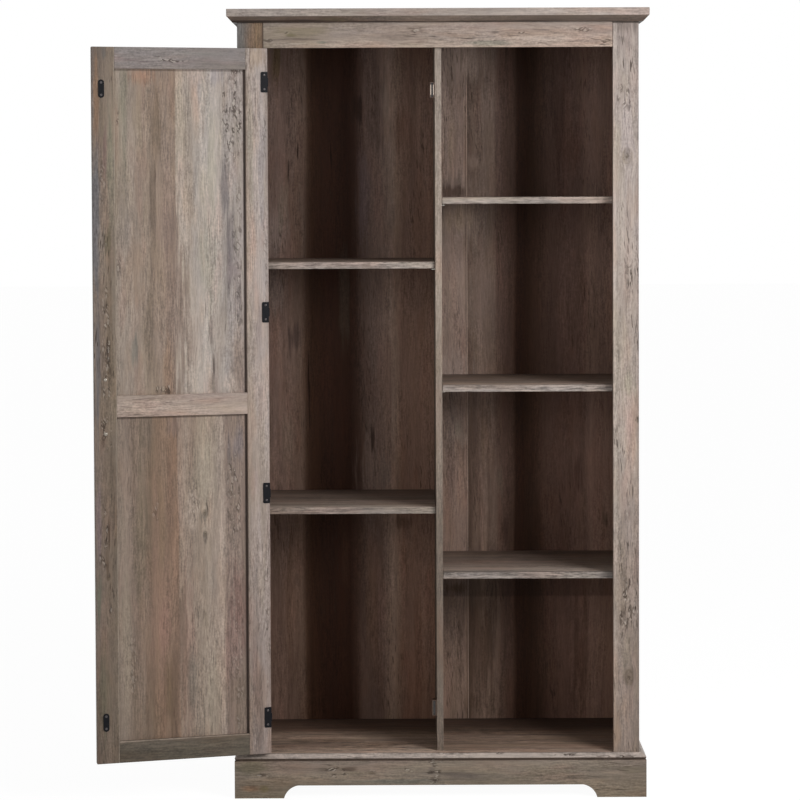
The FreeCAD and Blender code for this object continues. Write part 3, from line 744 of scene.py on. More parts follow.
BACK_RIGHT_STAINS_AND_PAINTED_LIGHT = (
    # The first eleven rows are painted light and painted shade on the bays next to the divider: lighter at the top
    # of the upper bay, round the middle shelf, below the upper and lowest shelves and over the second bay, darker
    # just above the upper shelf and over the upper, third and lowest bays.
    (1462, 48, 46, 40, (118, 102, 94), 0.9),
    (1800, 66, 60, 56, (178, 158, 147), 0.7),
    (1002, 46, 60, 40, (178, 158, 148), 0.6),
    (862, 46, 50, 40, (176, 156, 145), 0.5),
    (1385, 62, 90, 66, (184, 164, 152), 0.5),
    (925, 62, 90, 66, (164, 144, 134), 0.35),
    (455, 62, 70, 66, (150, 132, 122), 0.25),
    (1640, 45, 190, 45, (114, 99, 90), 0.45),
    (1200, 60, 190, 50, (166, 149, 138), 0.25),
    (760, 108, 220, 45, (84, 66, 58), 0.45),
    (310, 108, 210, 45, (79, 62, 52), 0.45),
    (1593, 40, 74, 10, (150, 131, 114), 0.5),
    (851, 51, 29, 7, (167, 156, 139), 0.6),
    (722, 32, 74, 10, (134, 111, 103), 0.5),
    (1210, 47, 147, 12, (173, 147, 134), 0.5),
    (825, 120, 98, 12, (131, 109, 94), 0.6),
    (722, 160, 64, 12, (106, 92, 81), 0.6),
    (593, 173, 44, 10, (80, 59, 52), 0.7),
    (734, 358, 64, 15, (85, 60, 53), 0.6),
    (708, 358, 24, 2, (39, 24, 21), 0.8),
    (617, 430, 24, 7, (85, 74, 60), 0.6),
    (514, 373, 24, 20, (106, 81, 81), 0.5),
    (1106, 392, 123, 20, (121, 99, 84), 0.4),
    (1643, 316, 98, 20, (85, 64, 56), 0.4),
    (282, 365, 123, 20, (89, 64, 54), 0.4),
    (283, 121, 98, 20, (89, 67, 53), 0.4),
    # Painted shade just above the upper shelf, and painted light just below it.
    (1460, 48, 18, 42, (84, 66, 57), 0.8),
    (1392, 56, 36, 38, (196, 172, 152), 0.7),
    (1537, 96, 20, 16, (150, 131, 120), 0.5),
    (830, 63, 22, 18, (176, 156, 142), 0.5),
    (148, 92, 26, 20, (84, 66, 55), 0.6),
    # Painted shade just below the lowest shelf.
    (443, 47, 16, 24, (92, 72, 54), 0.7),
)

# Patches of crackle: place along the grain and across it, half length and half width in
# millimetres, then the strength.

RIGHT_STILE_CRACKLE = (
    (1689, 444, 31, 20, 0.7),
    (1397, 424, 12, 4, 0.9),
    (1265, 455, 30, 14, 0.5),
    (448, 450, 60, 22, 0.9),
    (151, 425, 17, 7, 0.8),
    (441, 478, 24, 4, 0.8),
    (1538, 425, 21, 3, 0.6),
    (910, 477, 14, 6, 0.8),
    (690, 454, 31, 7, 0.4),
    (958, 430, 1000, 8, 0.25),
)
LATCH_STILE_CRACKLE = (
    (1342, -25, 14, 6, 0.8),
    (1118, -28, 167, 10, 0.7),
    (896, -27, 34, 17, 0.9),
    (661, -25, 65, 7, 0.6),
    (592, -21, 24, 13, 0.8),
    (475, -31, 16, 5, 0.8),
    (1493, -21, 46, 7, 0.4),
)
HINGE_STILE_CRACKLE = (
    (1715, -386, 14, 7, 0.4),
    (1599, -409, 59, 6, 0.5),
    (1288, -407, 155, 6, 0.4),
    (410, -409, 169, 6, 0.5),
)
UPPER_PANEL_CRACKLE = (
    (1636, -59, 35, 6, 0.8),
    (1625, -332, 109, 24, 0.9),
    (1752, -339, 8, 24, 0.8),
    (1301, -339, 190, 16, 0.6),
    (996, -161, 9, 30, 0.8),
    (993, -264, 8, 19, 0.7),
    (1296, -58, 20, 5, 0.6),
)
LOWER_PANEL_CRACKLE = (
    (726, -335, 144, 18, 0.7),
    (725, -236, 43, 11, 0.5),
    (709, -140, 24, 11, 0.5),
    (340, -337, 145, 13, 0.4),
    (330, -84, 72, 16, 0.3),
)
FRIEZE_CRACKLE = (
    (-48, 1848, 15, 10, 1.0),
    (20, 1851, 13, 4, 0.9),
    (201, 1842, 11, 6, 0.8),
    (127, 1828, 16, 3, 0.7),
    (347, 1851, 21, 6, 0.7),
    (402, 1825, 11, 10, 0.8),
    (-405, 1826, 15, 6, 0.7),
    (-364, 1844, 10, 4, 0.6),
)
PLINTH_CRACKLE = (
    (-252, 59, 28, 17, 1.0),
    (-169, 60, 20, 6, 0.8),
    (-76, 67, 19, 8, 0.8),
    (-15, 63, 16, 24, 1.0),
    (-430, 53, 14, 4, 0.7),
    (415, 18, 43, 2, 0.9),
    (239, 49, 48, 3, 0.5),
    (139, 103, 27, 4, 0.9),
    (312, 102, 43, 4, 1.0),
    (442, 101, 53, 4, 1.0),
    (34, 103, 60, 4, 0.6),
)

# Tints across a board at shares of its width. Those whose name ends in ENDS lie along it
# and multiply the others.

PALE = ramp((0.0, 205, 192, 182), (0.05, 200, 188, 178), (0.2, 186, 174, 165),
            (0.5, 194, 180, 171), (0.85, 190, 177, 168), (1.0, 174, 162, 157))
# Painted shade along the face frame's stiles: darker towards the bottom, and a little at the top.
STILE_ENDS = ramp((0.0, 195, 186, 180), (0.3, 214, 207, 203), (0.42, 233, 230, 227),
                  (0.62, 232, 228, 225), (0.75, 228, 226, 226), (1.0, 217, 215, 215))
SIDE = ramp((0.0, 150, 136, 124), (0.22, 134, 120, 108), (0.4, 158, 146, 136),
            (0.62, 128, 114, 102), (0.8, 150, 134, 120), (1.0, 142, 130, 120))


def shelf_ramp(light=1.0):
    """A pale front edge, its tone scaled by light as painted light and shade for each shelf, then the top,
    darkening towards the back as painted shade.
    """
    return ramp((0.0, 172 * light, 160 * light, 152 * light),
                (0.06, 164 * light, 150 * light, 140 * light),
                (0.09, 184, 168, 156), (0.22, 158, 142, 131), (0.45, 131, 115, 105),
                (0.75, 121, 105, 95), (1.0, 106, 90, 80))


TOP_RAIL_STAINS = (
    (-45, 1780, 40, 15, (160, 138, 132), 0.6),
    (-90, 1775, 38, 4, (124, 108, 106), 0.6),
    (-120, 1770, 22, 3, (112, 100, 100), 0.6),
    (-250, 1790, 90, 6, (138, 134, 128), 0.5),
    (-330, 1770, 30, 5, (158, 142, 138), 0.5),
)


class CABINET_OT_face_frame(OakBoards, bpy.types.Operator):
    """Oak on the two stiles and the top rail"""
    bl_idname = "cabinet.face_frame"
    bl_label = "Face frame"
    boards = (
        ("right_stile", "zxy", PALE, 11.0,
         {"ends": STILE_ENDS, "stains_and_painted_light": RIGHT_STILE_STAINS_AND_SHADE,
          "knots": ((1546, 452, 13), (288, 454, 13)), "checks": 0.8,
          "crazed": RIGHT_STILE_CRACKLE,
          # Painted shadow line just under the crown moulding.
          "lines": (("along", 1866.4, 2.4, (52, 42, 36), 0.8),)}),
        ("left_stile", "zxy",
         ramp((0.0, 142, 139, 136), (0.3, 149, 141, 132), (0.42, 160, 144, 127),
              (0.7, 172, 151, 125), (1.0, 153, 131, 112)), 23.0,
         {"ends": STILE_ENDS,
          "lines": (("across", -420.0, 1.4, (66, 54, 47), 0.7),)}),
        ("top_rail", "xzy",
         ramp((0.0, 186, 170, 158), (0.12, 176, 160, 148), (0.5, 161, 147, 138),
              (1.0, 157, 144, 136)), 31.0,
         {"ends": ramp((0.0, 236, 236, 232), (0.35, 250, 247, 244), (0.6, 255, 252, 250),
                       (1.0, 255, 252, 250)),
          "stains_and_painted_light": FRIEZE_STAINS, "checks": 0.7, "crazed": FRIEZE_CRACKLE,
          "lines": (("along", 418.4, 0.8, (84, 72, 64), 0.8),
                    ("along", -418.4, 0.8, (84, 72, 64), 0.8))}),
    )


# Painted shade on the crown mouldings, which face down: darker than the face frame's print, and darkest along the
# lower edge.
MOULDING = ramp((0.0, 66, 54, 48), (0.10, 80, 68, 60), (0.18, 118, 103, 93),
                (0.6, 126, 112, 102), (1.0, 132, 118, 108))
# Painted shade along the front moulding: darker at its left end and much darker over its right part.
MOULDING_ENDS = ramp((0.0, 232, 230, 228), (0.34, 232, 230, 228), (0.40, 255, 253, 251),
                     (0.52, 255, 253, 251), (0.57, 244, 242, 240), (0.63, 216, 213, 211),
                     (0.69, 204, 201, 199), (0.76, 184, 181, 179), (0.82, 194, 191, 189),
                     (1.0, 196, 193, 191))
# Painted shade: the side mouldings are darker still than the front one.
MOULDING_SIDES = ramp((0.0, 46, 38, 33), (0.10, 56, 48, 42), (0.18, 83, 72, 65),
                      (0.6, 88, 78, 71), (1.0, 92, 83, 76))


class CABINET_OT_crown(OakBoards, bpy.types.Operator):
    """Oak on the crown board and its mouldings"""
    bl_idname = "cabinet.crown"
    bl_label = "Crown"
    boards = (
        ("crown_board", "xyz",
         ramp((0.0, 165, 153, 145), (0.5, 163, 150, 140), (1.0, 154, 143, 134)), 41.0,
         {}),
        ("crown_moulding_front", "xzy", MOULDING, 47.0,
         {"folded": False, "ends": MOULDING_ENDS,
          "stains_and_painted_light": ((-249, 1872.0, 34, 5, (92, 80, 62), 0.7),)}),
        ("crown_moulding_left", "yzx", MOULDING_SIDES, 53.0, {"folded": False}),
        ("crown_moulding_right", "yzx", MOULDING_SIDES, 59.0, {"folded": False}),
    )


PLINTH = ramp((0.0, 129, 116, 98), (0.3, 140, 126, 110), (0.8, 138, 125, 114),
              (1.0, 140, 126, 115))
# Painted light on the base boards: a painted highlight on the bevel along their top, and painted shade in the
# groove under it.
PLINTH_BEVEL_HIGHLIGHT_AND_GROOVE_SHADE = (("across", 101.5, 5.6, (187, 174, 165), 0.75),
                ("across", 93.1, 3.6, (88, 74, 65), 0.95))


class CABINET_OT_plinth(OakBoards, bpy.types.Operator):
    """Oak on the boards of the base"""
    bl_idname = "cabinet.plinth"
    bl_label = "Plinth"
    boards = (
        ("base_front_board", "xzy", PLINTH, 61.0,
         {"stains_and_painted_light": PLINTH_STAINS, "checks": 0.6, "folded": False,
          "ends": ramp((0.0, 255, 255, 255), (0.85, 255, 255, 255), (1.0, 236, 234, 232)),
          "crazed": PLINTH_CRACKLE, "lines": PLINTH_BEVEL_HIGHLIGHT_AND_GROOVE_SHADE}),
        ("base_left_board", "yzx", PLINTH, 67.0, {"folded": False, "lines": PLINTH_BEVEL_HIGHLIGHT_AND_GROOVE_SHADE}),
        ("base_right_board", "yzx", PLINTH, 71.0, {"folded": False, "lines": PLINTH_BEVEL_HIGHLIGHT_AND_GROOVE_SHADE}),
        ("base_rear_rail", "xzy", SIDE, 73.0, {}),
        ("base_cross_rail", "yzx", SIDE, 79.0, {}),
        ("centre_foot", "xyz", SIDE, 83.0, {}),
    )


class CABINET_OT_carcass(OakBoards, bpy.types.Operator):
    """Oak on the sides, the divider, the top and the floor"""
    bl_idname = "cabinet.carcass"
    bl_label = "Carcass"
    boards = (
        ("left_side_panel", "zyx", SIDE, 89.0, {"knots": ((1220, 30, 12), (550, -90, 9))}),
        ("right_side_panel", "zyx", SIDE, 97.0, {"knots": ((920, -60, 11), (1500, 100, 8))}),
        ("centre_divider", "zyx",
         ramp((0.0, 172, 158, 146), (0.05, 168, 154, 142), (0.12, 146, 132, 120),
              (0.4, 158, 146, 136), (1.0, 142, 130, 120)), 101.0,
         # Painted shade on the divider: darker towards the bottom.
         {"ends": ramp((0.0, 176, 172, 168), (0.3, 190, 186, 182), (0.5, 232, 229, 226),
                       (0.7, 255, 253, 251), (1.0, 255, 255, 255))}),
        ("top_panel", "xyz", SIDE, 103.0, {}),
        # Painted shade on the floor panel: darker from its front edge towards the back. Its right half is darker
        # too.
        ("floor_panel", "xyz",
         ramp((0.0, 214, 196, 184), (0.15, 190, 174, 162), (0.27, 168, 152, 140),
              (0.4, 164, 148, 136), (0.5, 168, 152, 140), (0.6, 156, 140, 128),
              (0.68, 122, 107, 96), (0.75, 98, 83, 74), (0.88, 88, 73, 64),
              (1.0, 84, 69, 60)), 107.0,
         {"streaks": 2.2, "ends": ramp((0.0, 244, 234, 226), (0.48, 240, 230, 222),
                                       (0.52, 208, 196, 188), (1.0, 208, 196, 188))}),
    )


# Printed planks across the left back. From 0.82 to the divider the tints are lighter, as painted light.
BACK_LEFT = ramp((0.0, 127, 109, 101), (0.17, 134, 112, 103), (0.285, 121, 101, 90),
                 (0.308, 83, 63, 52), (0.335, 64, 44, 33), (0.40, 61, 40, 31),
                 (0.54, 61, 40, 31), (0.57, 84, 63, 54), (0.60, 112, 92, 84),
                 (0.64, 126, 106, 98), (0.69, 137, 115, 106), (0.755, 174, 151, 138),
                 (0.79, 162, 137, 122), (0.82, 141, 114, 101), (1.0, 153, 124, 110))
BACK_RIGHT = ramp((0.0, 153, 134, 124), (0.155, 153, 133, 124), (0.162, 143, 124, 113),
                  (0.172, 101, 84, 75), (0.20, 114, 97, 87), (0.24, 141, 122, 112),
                  (0.30, 133, 114, 104), (0.33, 112, 92, 83), (0.37, 97, 77, 69),
                  (0.403, 90, 70, 61), (0.425, 58, 39, 30), (0.47, 54, 35, 26),
                  (0.50, 65, 46, 36), (0.55, 88, 67, 57), (0.60, 110, 87, 78),
                  (0.70, 122, 97, 88), (0.78, 141, 114, 103), (0.83, 153, 126, 115),
                  (1.0, 153, 124, 110))
BACK_ENDS = ramp((0.0, 250, 240, 230), (0.45, 252, 248, 244), (0.65, 255, 253, 251),
                 (1.0, 250, 251, 252))


class CABINET_OT_back(OakBoards, bpy.types.Operator):
    """Printed planks on the two back panels, with painted light and painted shade in the bays"""
    bl_idname = "cabinet.back"
    bl_label = "Back"
    boards = (
        ("back_panel_left", "zxy", BACK_LEFT, 109.0,
         {"ends": BACK_ENDS, "stains_and_painted_light": BACK_LEFT_STAINS_AND_PAINTED_LIGHT, "streaks": 0.9, "checks": 0.6,
          "hue": 0.4, "gloss": 0.08, "blur": 0.02, "bare": 183.5}),
        ("back_panel_right", "zxy", BACK_RIGHT, 113.0,
         {"ends": BACK_ENDS, "stains_and_painted_light": BACK_RIGHT_STAINS_AND_PAINTED_LIGHT, "streaks": 0.9, "checks": 0.6,
          "hue": 0.4, "gloss": 0.08, "blur": 0.02, "bare": 183.5,
          "lines": (("across", 77.5, 1.2, (190, 168, 154), 0.6),
                    # Painted shade just below the lowest shelf.
                    ("along", 444.0, 26.0, (30, 20, 14), 0.35))}),
    )


class CABINET_OT_shelves(OakBoards, bpy.types.Operator):
    """Oak on the five shelves"""
    bl_idname = "cabinet.shelves"
    bl_label = "Shelves"
    boards = (
        ("shelf_left_upper", "xyz", shelf_ramp(), 127.0, {"streaks": 1.9}),
        ("shelf_left_lower", "xyz", shelf_ramp(0.80), 131.0, {"streaks": 1.9}),
        ("shelf_right_upper", "xyz", shelf_ramp(1.02), 137.0, {"streaks": 1.9}),
        ("shelf_right_middle", "xyz", shelf_ramp(0.93), 139.0, {"streaks": 1.9}),
        ("shelf_right_lower", "xyz", shelf_ramp(0.90), 149.0, {"streaks": 1.9}),
    )


UPPER_PANEL = ramp((0.0, 171, 158, 152), (0.08, 170, 158, 151), (0.17, 174, 163, 156),
                   (0.20, 180, 168, 159), (0.30, 185, 174, 165), (0.42, 180, 167, 156),
                   (0.53, 184, 168, 155), (0.545, 152, 132, 118), (0.70, 152, 133, 118),
                   (0.72, 155, 137, 122), (0.9, 161, 146, 134), (1.0, 161, 147, 134))
LOWER_PANEL = ramp((0.0, 139, 122, 111), (0.15, 151, 133, 122), (0.18, 181, 163, 150),
                   (0.30, 170, 153, 138), (0.42, 155, 138, 124), (0.53, 159, 139, 125),
                   (0.545, 140, 116, 99), (0.70, 134, 111, 93), (0.74, 124, 105, 89),
                   (0.9, 145, 127, 114), (1.0, 148, 133, 120))
# Painted shadow on the door's panels: dark lines along the hinge stile and under the top and middle rails, which
# stand proud of the panels.
PANEL_EDGE_SHADOW = (52, 38, 32)
RAIL = ramp((0.0, 175, 156, 144), (0.5, 188, 169, 156), (1.0, 180, 162, 152))


class CABINET_OT_door(OakBoards, bpy.types.Operator):
    """Oak on the door's stiles, rails and panels"""
    bl_idname = "cabinet.door"
    bl_label = "Door"
    boards = (
        ("door_latch_stile", "zxy",
         ramp((0.0, 145, 131, 116), (0.5, 143, 127, 113), (1.0, 138, 124, 114)), 151.0,
         # Painted shade along the latch stile: darker towards the bottom and at the top end.
         {"ends": ramp((0.0, 210, 206, 203), (0.35, 226, 222, 219), (0.55, 242, 238, 236),
                       (0.7, 252, 252, 252), (0.9, 250, 249, 249), (1.0, 223, 222, 222)),
          "stains_and_painted_light": LATCH_STILE_STAINS, "crazed": LATCH_STILE_CRACKLE, "checks": 0.9,
          "knots": ((1039, -34, 4), (554, -29, 4)),
          # Painted highlight along the stile's inner edge by the panel.
          "lines": (("across", -49.2, 1.1, (186, 172, 158), 0.5),)}),
        ("door_hinge_stile", "zxy",
         ramp((0.0, 173, 159, 152), (0.25, 183, 171, 165), (0.7, 179, 165, 157),
              (1.0, 173, 159, 148)), 157.0,
         # Painted shade along the hinge stile: darker towards the bottom.
         {"ends": ramp((0.0, 223, 216, 212), (0.5, 242, 239, 237), (1.0, 255, 255, 255)),
          "stains_and_painted_light": HINGE_STILE_STAINS, "crazed": HINGE_STILE_CRACKLE}),
        ("door_top_rail", "xzy",
         ramp((0.0, 145, 135, 131), (1.0, 143, 135, 132)), 163.0,
         {"stains_and_painted_light": TOP_RAIL_STAINS, "streaks": 0.8,
          "crazed": ((-163, 1777, 47, 10, 1.0), (-362, 1776, 7, 8, 0.8))}),
        ("door_middle_rail", "xzy", RAIL, 167.0, {"streaks": 0.9}),
        ("door_bottom_rail", "xzy",
         ramp((0.0, 94, 86, 74), (0.85, 102, 92, 80), (1.0, 112, 98, 86)), 173.0,
         # Painted highlight along the rail's top edge.
         {"lines": (("across", 162.0, 1.2, (172, 156, 142), 0.6),)}),
        ("door_upper_panel", "zxy", UPPER_PANEL, 179.0,
         {"stains_and_painted_light": UPPER_PANEL_STAINS, "crazed": UPPER_PANEL_CRACKLE,
          # Painted shadows along the hinge stile and under the top rail.
          "lines": (("across", -360.0, 3.2, PANEL_EDGE_SHADOW, 0.85),
                    ("along", 1751.5, 2.2, PANEL_EDGE_SHADOW, 0.45))}),
        ("door_lower_panel", "zxy", LOWER_PANEL, 181.0,
         {"stains_and_painted_light": LOWER_PANEL_STAINS, "hue": 0.4, "crazed": LOWER_PANEL_CRACKLE,
          "knots": ((699, -259, 5), (649, -261, 4)),
          # Painted shadows along the hinge stile and under the middle rail.
          "lines": (("across", -360.0, 3.2, PANEL_EDGE_SHADOW, 0.85),
                    ("along", 930.5, 3.2, PANEL_EDGE_SHADOW, 0.5))}),
    )


# Ironwork and small fittings

# Depth of each relief in metres, and the mean and the spread of steel's roughness.
ENAMEL_RELIEF = 0.0002
STEEL_RELIEF = 0.00005
SPECKLE_RELIEF = 0.0001
STEEL_ROUGHNESS = 0.28
STEEL_SPREAD = 0.3


def enamel(colour):
    """Black enamel, slightly uneven, worn to brown in cloudy patches."""
    finish = Finish("black_enamel")
    cloud = finish.mottle(180.0, detail=3.0)
    fine = finish.mottle(900.0)
    worn = finish.mix(cloud.rise(0.55, 0.75) * 0.3, colour, tint(44, 39, 38))
    roughness = 0.42 + (cloud - 0.5) * 0.25 + (fine - 0.5) * 0.12
    return finish.shaded(worn, roughness, fine, ENAMEL_RELIEF, gloss=0.14)


def steel(finish, colour, lines):
    """Metal with a fine brushed surface."""
    roughness = STEEL_ROUGHNESS + (lines - 0.5) * STEEL_SPREAD
    return finish.shaded(colour, roughness, lines, STEEL_RELIEF, metallic=1.0)


def plated(name, colour, rate):
    """Plated steel, a little cloudy."""
    finish = Finish(name)
    clouded = finish.scaled(colour, 0.86 + finish.mottle(120.0) * 0.28)
    return steel(finish, clouded, finish.brushed(rate))


def steel_with_painted_highlight():
    """Steel with a painted highlight within about 12 mm of the upper catch's height, and painted shade, a dull
    dark brown, everywhere else.
    """
    finish = Finish("steel_painted_highlight_finish")
    lines = finish.brushed(900.0)
    reach = abs(finish.place()[2] - CATCH_HEIGHTS[0] * MM)
    painted_highlight = finish.mix(reach.rise(10.0 * MM, 14.0 * MM), tint(172, 158, 146), tint(74, 63, 56))
    return steel(finish, finish.scaled(painted_highlight, 0.9 + lines * 0.2), lines)


def speckled(name, dark, light, cloud_rate, grain_rate, roughness, spread, detail=2.0):
    """Two tints in clouds, with a fine grain in the roughness and the relief."""
    finish = Finish(name)
    grain = finish.mottle(grain_rate, detail)
    colour = finish.mix(finish.mottle(cloud_rate), dark, light)
    return finish.shaded(colour, roughness + (grain - 0.5) * spread, grain, SPECKLE_RELIEF)


class CABINET_OT_ironwork(bpy.types.Operator):
    """Enamel on the hinges, strikes and handle, and plating on the other metal"""
    bl_idname = "cabinet.ironwork"
    bl_label = "Ironwork"

    def execute(self, context):
        settings = context.scene.cabinet_iron
        finishes = {
            "black_metal": enamel(settings.enamel),
            "zinc_steel": plated("zinc_plating", settings.steel, 500.0),
            "bright_steel": steel_with_painted_highlight(),
            "brown_plastic": speckled(
                "brown_plastic_finish", tint(58, 40, 30), tint(78, 56, 42),
                cloud_rate=60.0, grain_rate=1400.0, roughness=0.42, spread=0.2, detail=1.0),
            "magnet_ferrite": speckled(
                "ferrite_finish", tint(44, 42, 42), tint(66, 62, 60),
                cloud_rate=900.0, grain_rate=900.0, roughness=0.6, spread=0.3),
            "beech_wood": speckled(
                "beech_finish", tint(196, 160, 118), tint(214, 182, 142),
                cloud_rate=300.0, grain_rate=300.0, roughness=0.6, spread=0.2),
        }
        for part in frame["record"]["subparts"]:
            finish = finishes.get(part["material_slot"])
            if finish:
                dress(part["node"], finish)
        return {"FINISHED"}


# Screws with crossed recesses. Profiles are rows of radius and height in millimetres from
# the seat, tip first.

SLIM_SCREW = ((0.3, -11.8), (1.5, -10.0), (1.5, 0.0), (3.0, 0.0), (3.0, 0.3), (2.8, 0.9),
              (2.3, 1.35), (1.6, 1.6))
FLUSH_SCREW = ((0.3, -13.3), (1.5, -11.5), (1.5, -1.5), (2.9, -0.1), (2.9, 0.0))
BOLT_SCREW = ((1.6, -29.6), (2.0, -29.0), (2.0, 0.0), (4.5, 0.0), (4.5, 0.4), (4.1, 1.2),
              (3.2, 1.9), (2.2, 2.2))
INTO_DOOR = (0.0, -1.0, 0.0)
INTO_STILE = (0.0, 1.0, 0.0)
INTO_DIVIDER = (1.0, 0.0, 0.0)

# Node, profile, way in with the door shut, heights of the pairs and their spacing, both
# in millimetres.
SCREWS = (
    ("hinge_door_screws", SLIM_SCREW, INTO_DOOR, HINGE_HEIGHTS, 34.0),
    ("hinge_frame_screws", SLIM_SCREW, INTO_STILE, HINGE_HEIGHTS, 34.0),
    ("strike_screws", FLUSH_SCREW, INTO_DOOR, CATCH_HEIGHTS, 29.0),
    ("handle_screws", BOLT_SCREW, INTO_DOOR, HANDLE_HEIGHTS, 128.0),
    ("catch_screws", SLIM_SCREW, INTO_DIVIDER, CATCH_HEIGHTS, 22.0),
)
SCREW_SIDES = 24
SMOOTH_BELOW = math.radians(32.0)
SPIN_STEP = 2.1
MERGE_WITHIN = 0.00001

# Length, width and depth of a recess's cutter in head radii, and how it narrows below.
RECESS = (1.25, 0.3, 0.9)
RECESS_TAPER = (0.35, 0.7, 1.0)


def seats(node, head, inward, heights, spacing):
    """Seats in metres with the door shut, one below and one above each height."""
    low, high = shut_box(node)
    place = (low + high) / 2
    for axis, way in enumerate(inward):
        if way:
            outer = low[axis] if way > 0 else high[axis]
            place[axis] = outer + way * head * MM
    return [Vector((place.x, place.y, (middle + side * spacing / 2) * MM))
            for middle in heights for side in (-1, 1)]


def only(*chosen):
    """Select these objects and nothing else. The first is the active one."""
    bpy.ops.object.select_all(action="DESELECT")
    for item in chosen:
        item.select_set(True)
    bpy.context.view_layer.objects.active = chosen[0]


def turned_solid(profile):
    """A round solid, extruded and widened ring by ring up its profile."""
    radius, level = profile[0]
    bpy.ops.object.select_all(action="DESELECT")
    bpy.ops.mesh.primitive_circle_add(vertices=SCREW_SIDES, radius=radius * MM,
                                      fill_type="NGON", location=(0.0, 0.0, level * MM))
    bpy.ops.object.transform_apply()
    bpy.ops.object.mode_set(mode="EDIT")
    bpy.ops.mesh.select_all(action="SELECT")
    for wider, higher in profile[1:]:
        bpy.ops.mesh.extrude_region_move(
            TRANSFORM_OT_translate={"value": (0.0, 0.0, (higher - level) * MM)})
        growth = wider / radius
        bpy.ops.transform.resize(value=(growth, growth, 1.0),
                                 center_override=(0.0, 0.0, higher * MM))
        radius, level = wider, higher
    bpy.ops.mesh.select_all(action="SELECT")
    bpy.ops.mesh.remove_doubles(threshold=MERGE_WITHIN)
    bpy.ops.mesh.normals_make_consistent(inside=False)
    bpy.ops.object.mode_set(mode="OBJECT")
    return bpy.context.object


def recess_cutter(radius, top):
    """A tapered bar, to cut one of the two slots of a crossed recess."""
    bpy.ops.object.select_all(action="DESELECT")
    bpy.ops.mesh.primitive_cube_add(size=1.0, location=(0.0, 0.0, top * MM))
    cutter = bpy.context.object
    cutter.scale = [radius * share * MM for share in RECESS]
    bpy.ops.object.transform_apply()
    for vertex in cutter.data.vertices:
        vertex.select = vertex.co.z < top * MM
    for face in cutter.data.polygons:
        face.select = all(cutter.data.vertices[i].select for i in face.vertices)
    bpy.ops.object.mode_set(mode="EDIT")
    bpy.ops.transform.resize(value=RECESS_TAPER, center_override=(0.0, 0.0, 0.0))
    bpy.ops.object.mode_set(mode="OBJECT")
    return cutter


def crossed_screw(profile):
    """One screw, its head up and its seat at height 0."""
    screw = turned_solid(profile)
    head_radius = max(radius for radius, level in profile)
    cutter = recess_cutter(head_radius, profile[-1][1])
    for quarter in (0.0, math.pi / 2):
        cutter.rotation_euler = (0.0, 0.0, quarter)
        slot = screw.modifiers.new("recess", "BOOLEAN")
        slot.object = cutter
        slot.operation = "DIFFERENCE"
        only(screw)
        bpy.ops.object.modifier_apply(modifier=slot.name)
    bpy.data.objects.remove(cutter)
    only(screw)
    bpy.ops.object.shade_smooth_by_angle(angle=SMOOTH_BELOW)
    return screw


class CABINET_OT_screws(bpy.types.Operator):
    """Screws with crossed recesses in the hinges, strikes, catches and handle"""
    bl_idname = "cabinet.screws"
    bl_label = "Screws"

    def execute(self, context):
        dark = plated("screw_steel", tint(84, 80, 80), 700.0)
        bright = plated("screw_zinc", tint(152, 144, 134), 700.0)
        slots = {part["node"]: part["material_slot"] for part in frame["record"]["subparts"]}
        for node, profile, inward, heights, spacing in SCREWS:
            body = "door" if node in DOOR_NODES else "cabinet"
            swing = DOOR_OPENED if body == "door" else Matrix.Identity(4)
            facing = (-Vector(inward)).to_track_quat("Z", "Y").to_matrix().to_4x4()
            master = crossed_screw(profile)
            copies = []
            for number, seat in enumerate(seats(node, profile[-1][1], inward, heights, spacing)):
                only(master)
                bpy.ops.object.duplicate()
                copy = context.object
                spin = Matrix.Rotation(number * SPIN_STEP, 4, "Z")
                copy.matrix_world = swing @ Matrix.Translation(seat) @ facing @ spin
                copies.append(copy)
            bpy.data.objects.remove(master)
            only(*copies)
            bpy.ops.object.transform_apply()
            bpy.ops.object.join()
            piece = context.object
            piece.name = node + "_crossed"
            piece.data.materials.clear()
            piece.data.materials.append(dark if slots[node] == "black_metal" else bright)
            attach(piece, body)
            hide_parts(node)
        return {"FINISHED"}


# Camera, lamps and floor

# Size, place and aim of each lamp, in metres.
KEY_LAMP = ((1.3, 1.3), (2.1, -2.3, 2.0), (0.0, -0.2, 1.1))
FILL_LAMP = ((3.0, 2.0), (-1.2, -4.6, 2.2), (0.0, 0.0, 1.0))
SENSOR_WIDTH = 36.0
FAR_CLIP = 60.0
FLOOR_SIZE = 60.0
FLOOR_GLOW = 1.12
FLOOR_GLOW_SHARE = 0.85
WHITE = (1.0, 1.0, 1.0, 1.0)


class CABINET_OT_camera(bpy.types.Operator):
    """The camera that took the picture"""
    bl_idname = "cabinet.camera"
    bl_label = "Camera"

    def execute(self, context):
        settings = context.scene.cabinet_camera
        data = bpy.data.cameras.new("viewpoint")
        camera = bpy.data.objects.new("viewpoint", data)
        context.scene.collection.objects.link(camera)
        data.sensor_fit = "HORIZONTAL"
        data.sensor_width = SENSOR_WIDTH
        data.lens = settings.lens
        data.shift_x, data.shift_y = settings.shift
        data.clip_end = FAR_CLIP
        level = Matrix.Rotation(math.radians(90.0) - settings.tilt, 4, "X")
        camera.matrix_world = (Matrix.Translation(settings.place) @ level
                               @ Matrix.Rotation(-settings.roll, 4, "Z"))
        context.scene.camera = camera
        return {"FINISHED"}


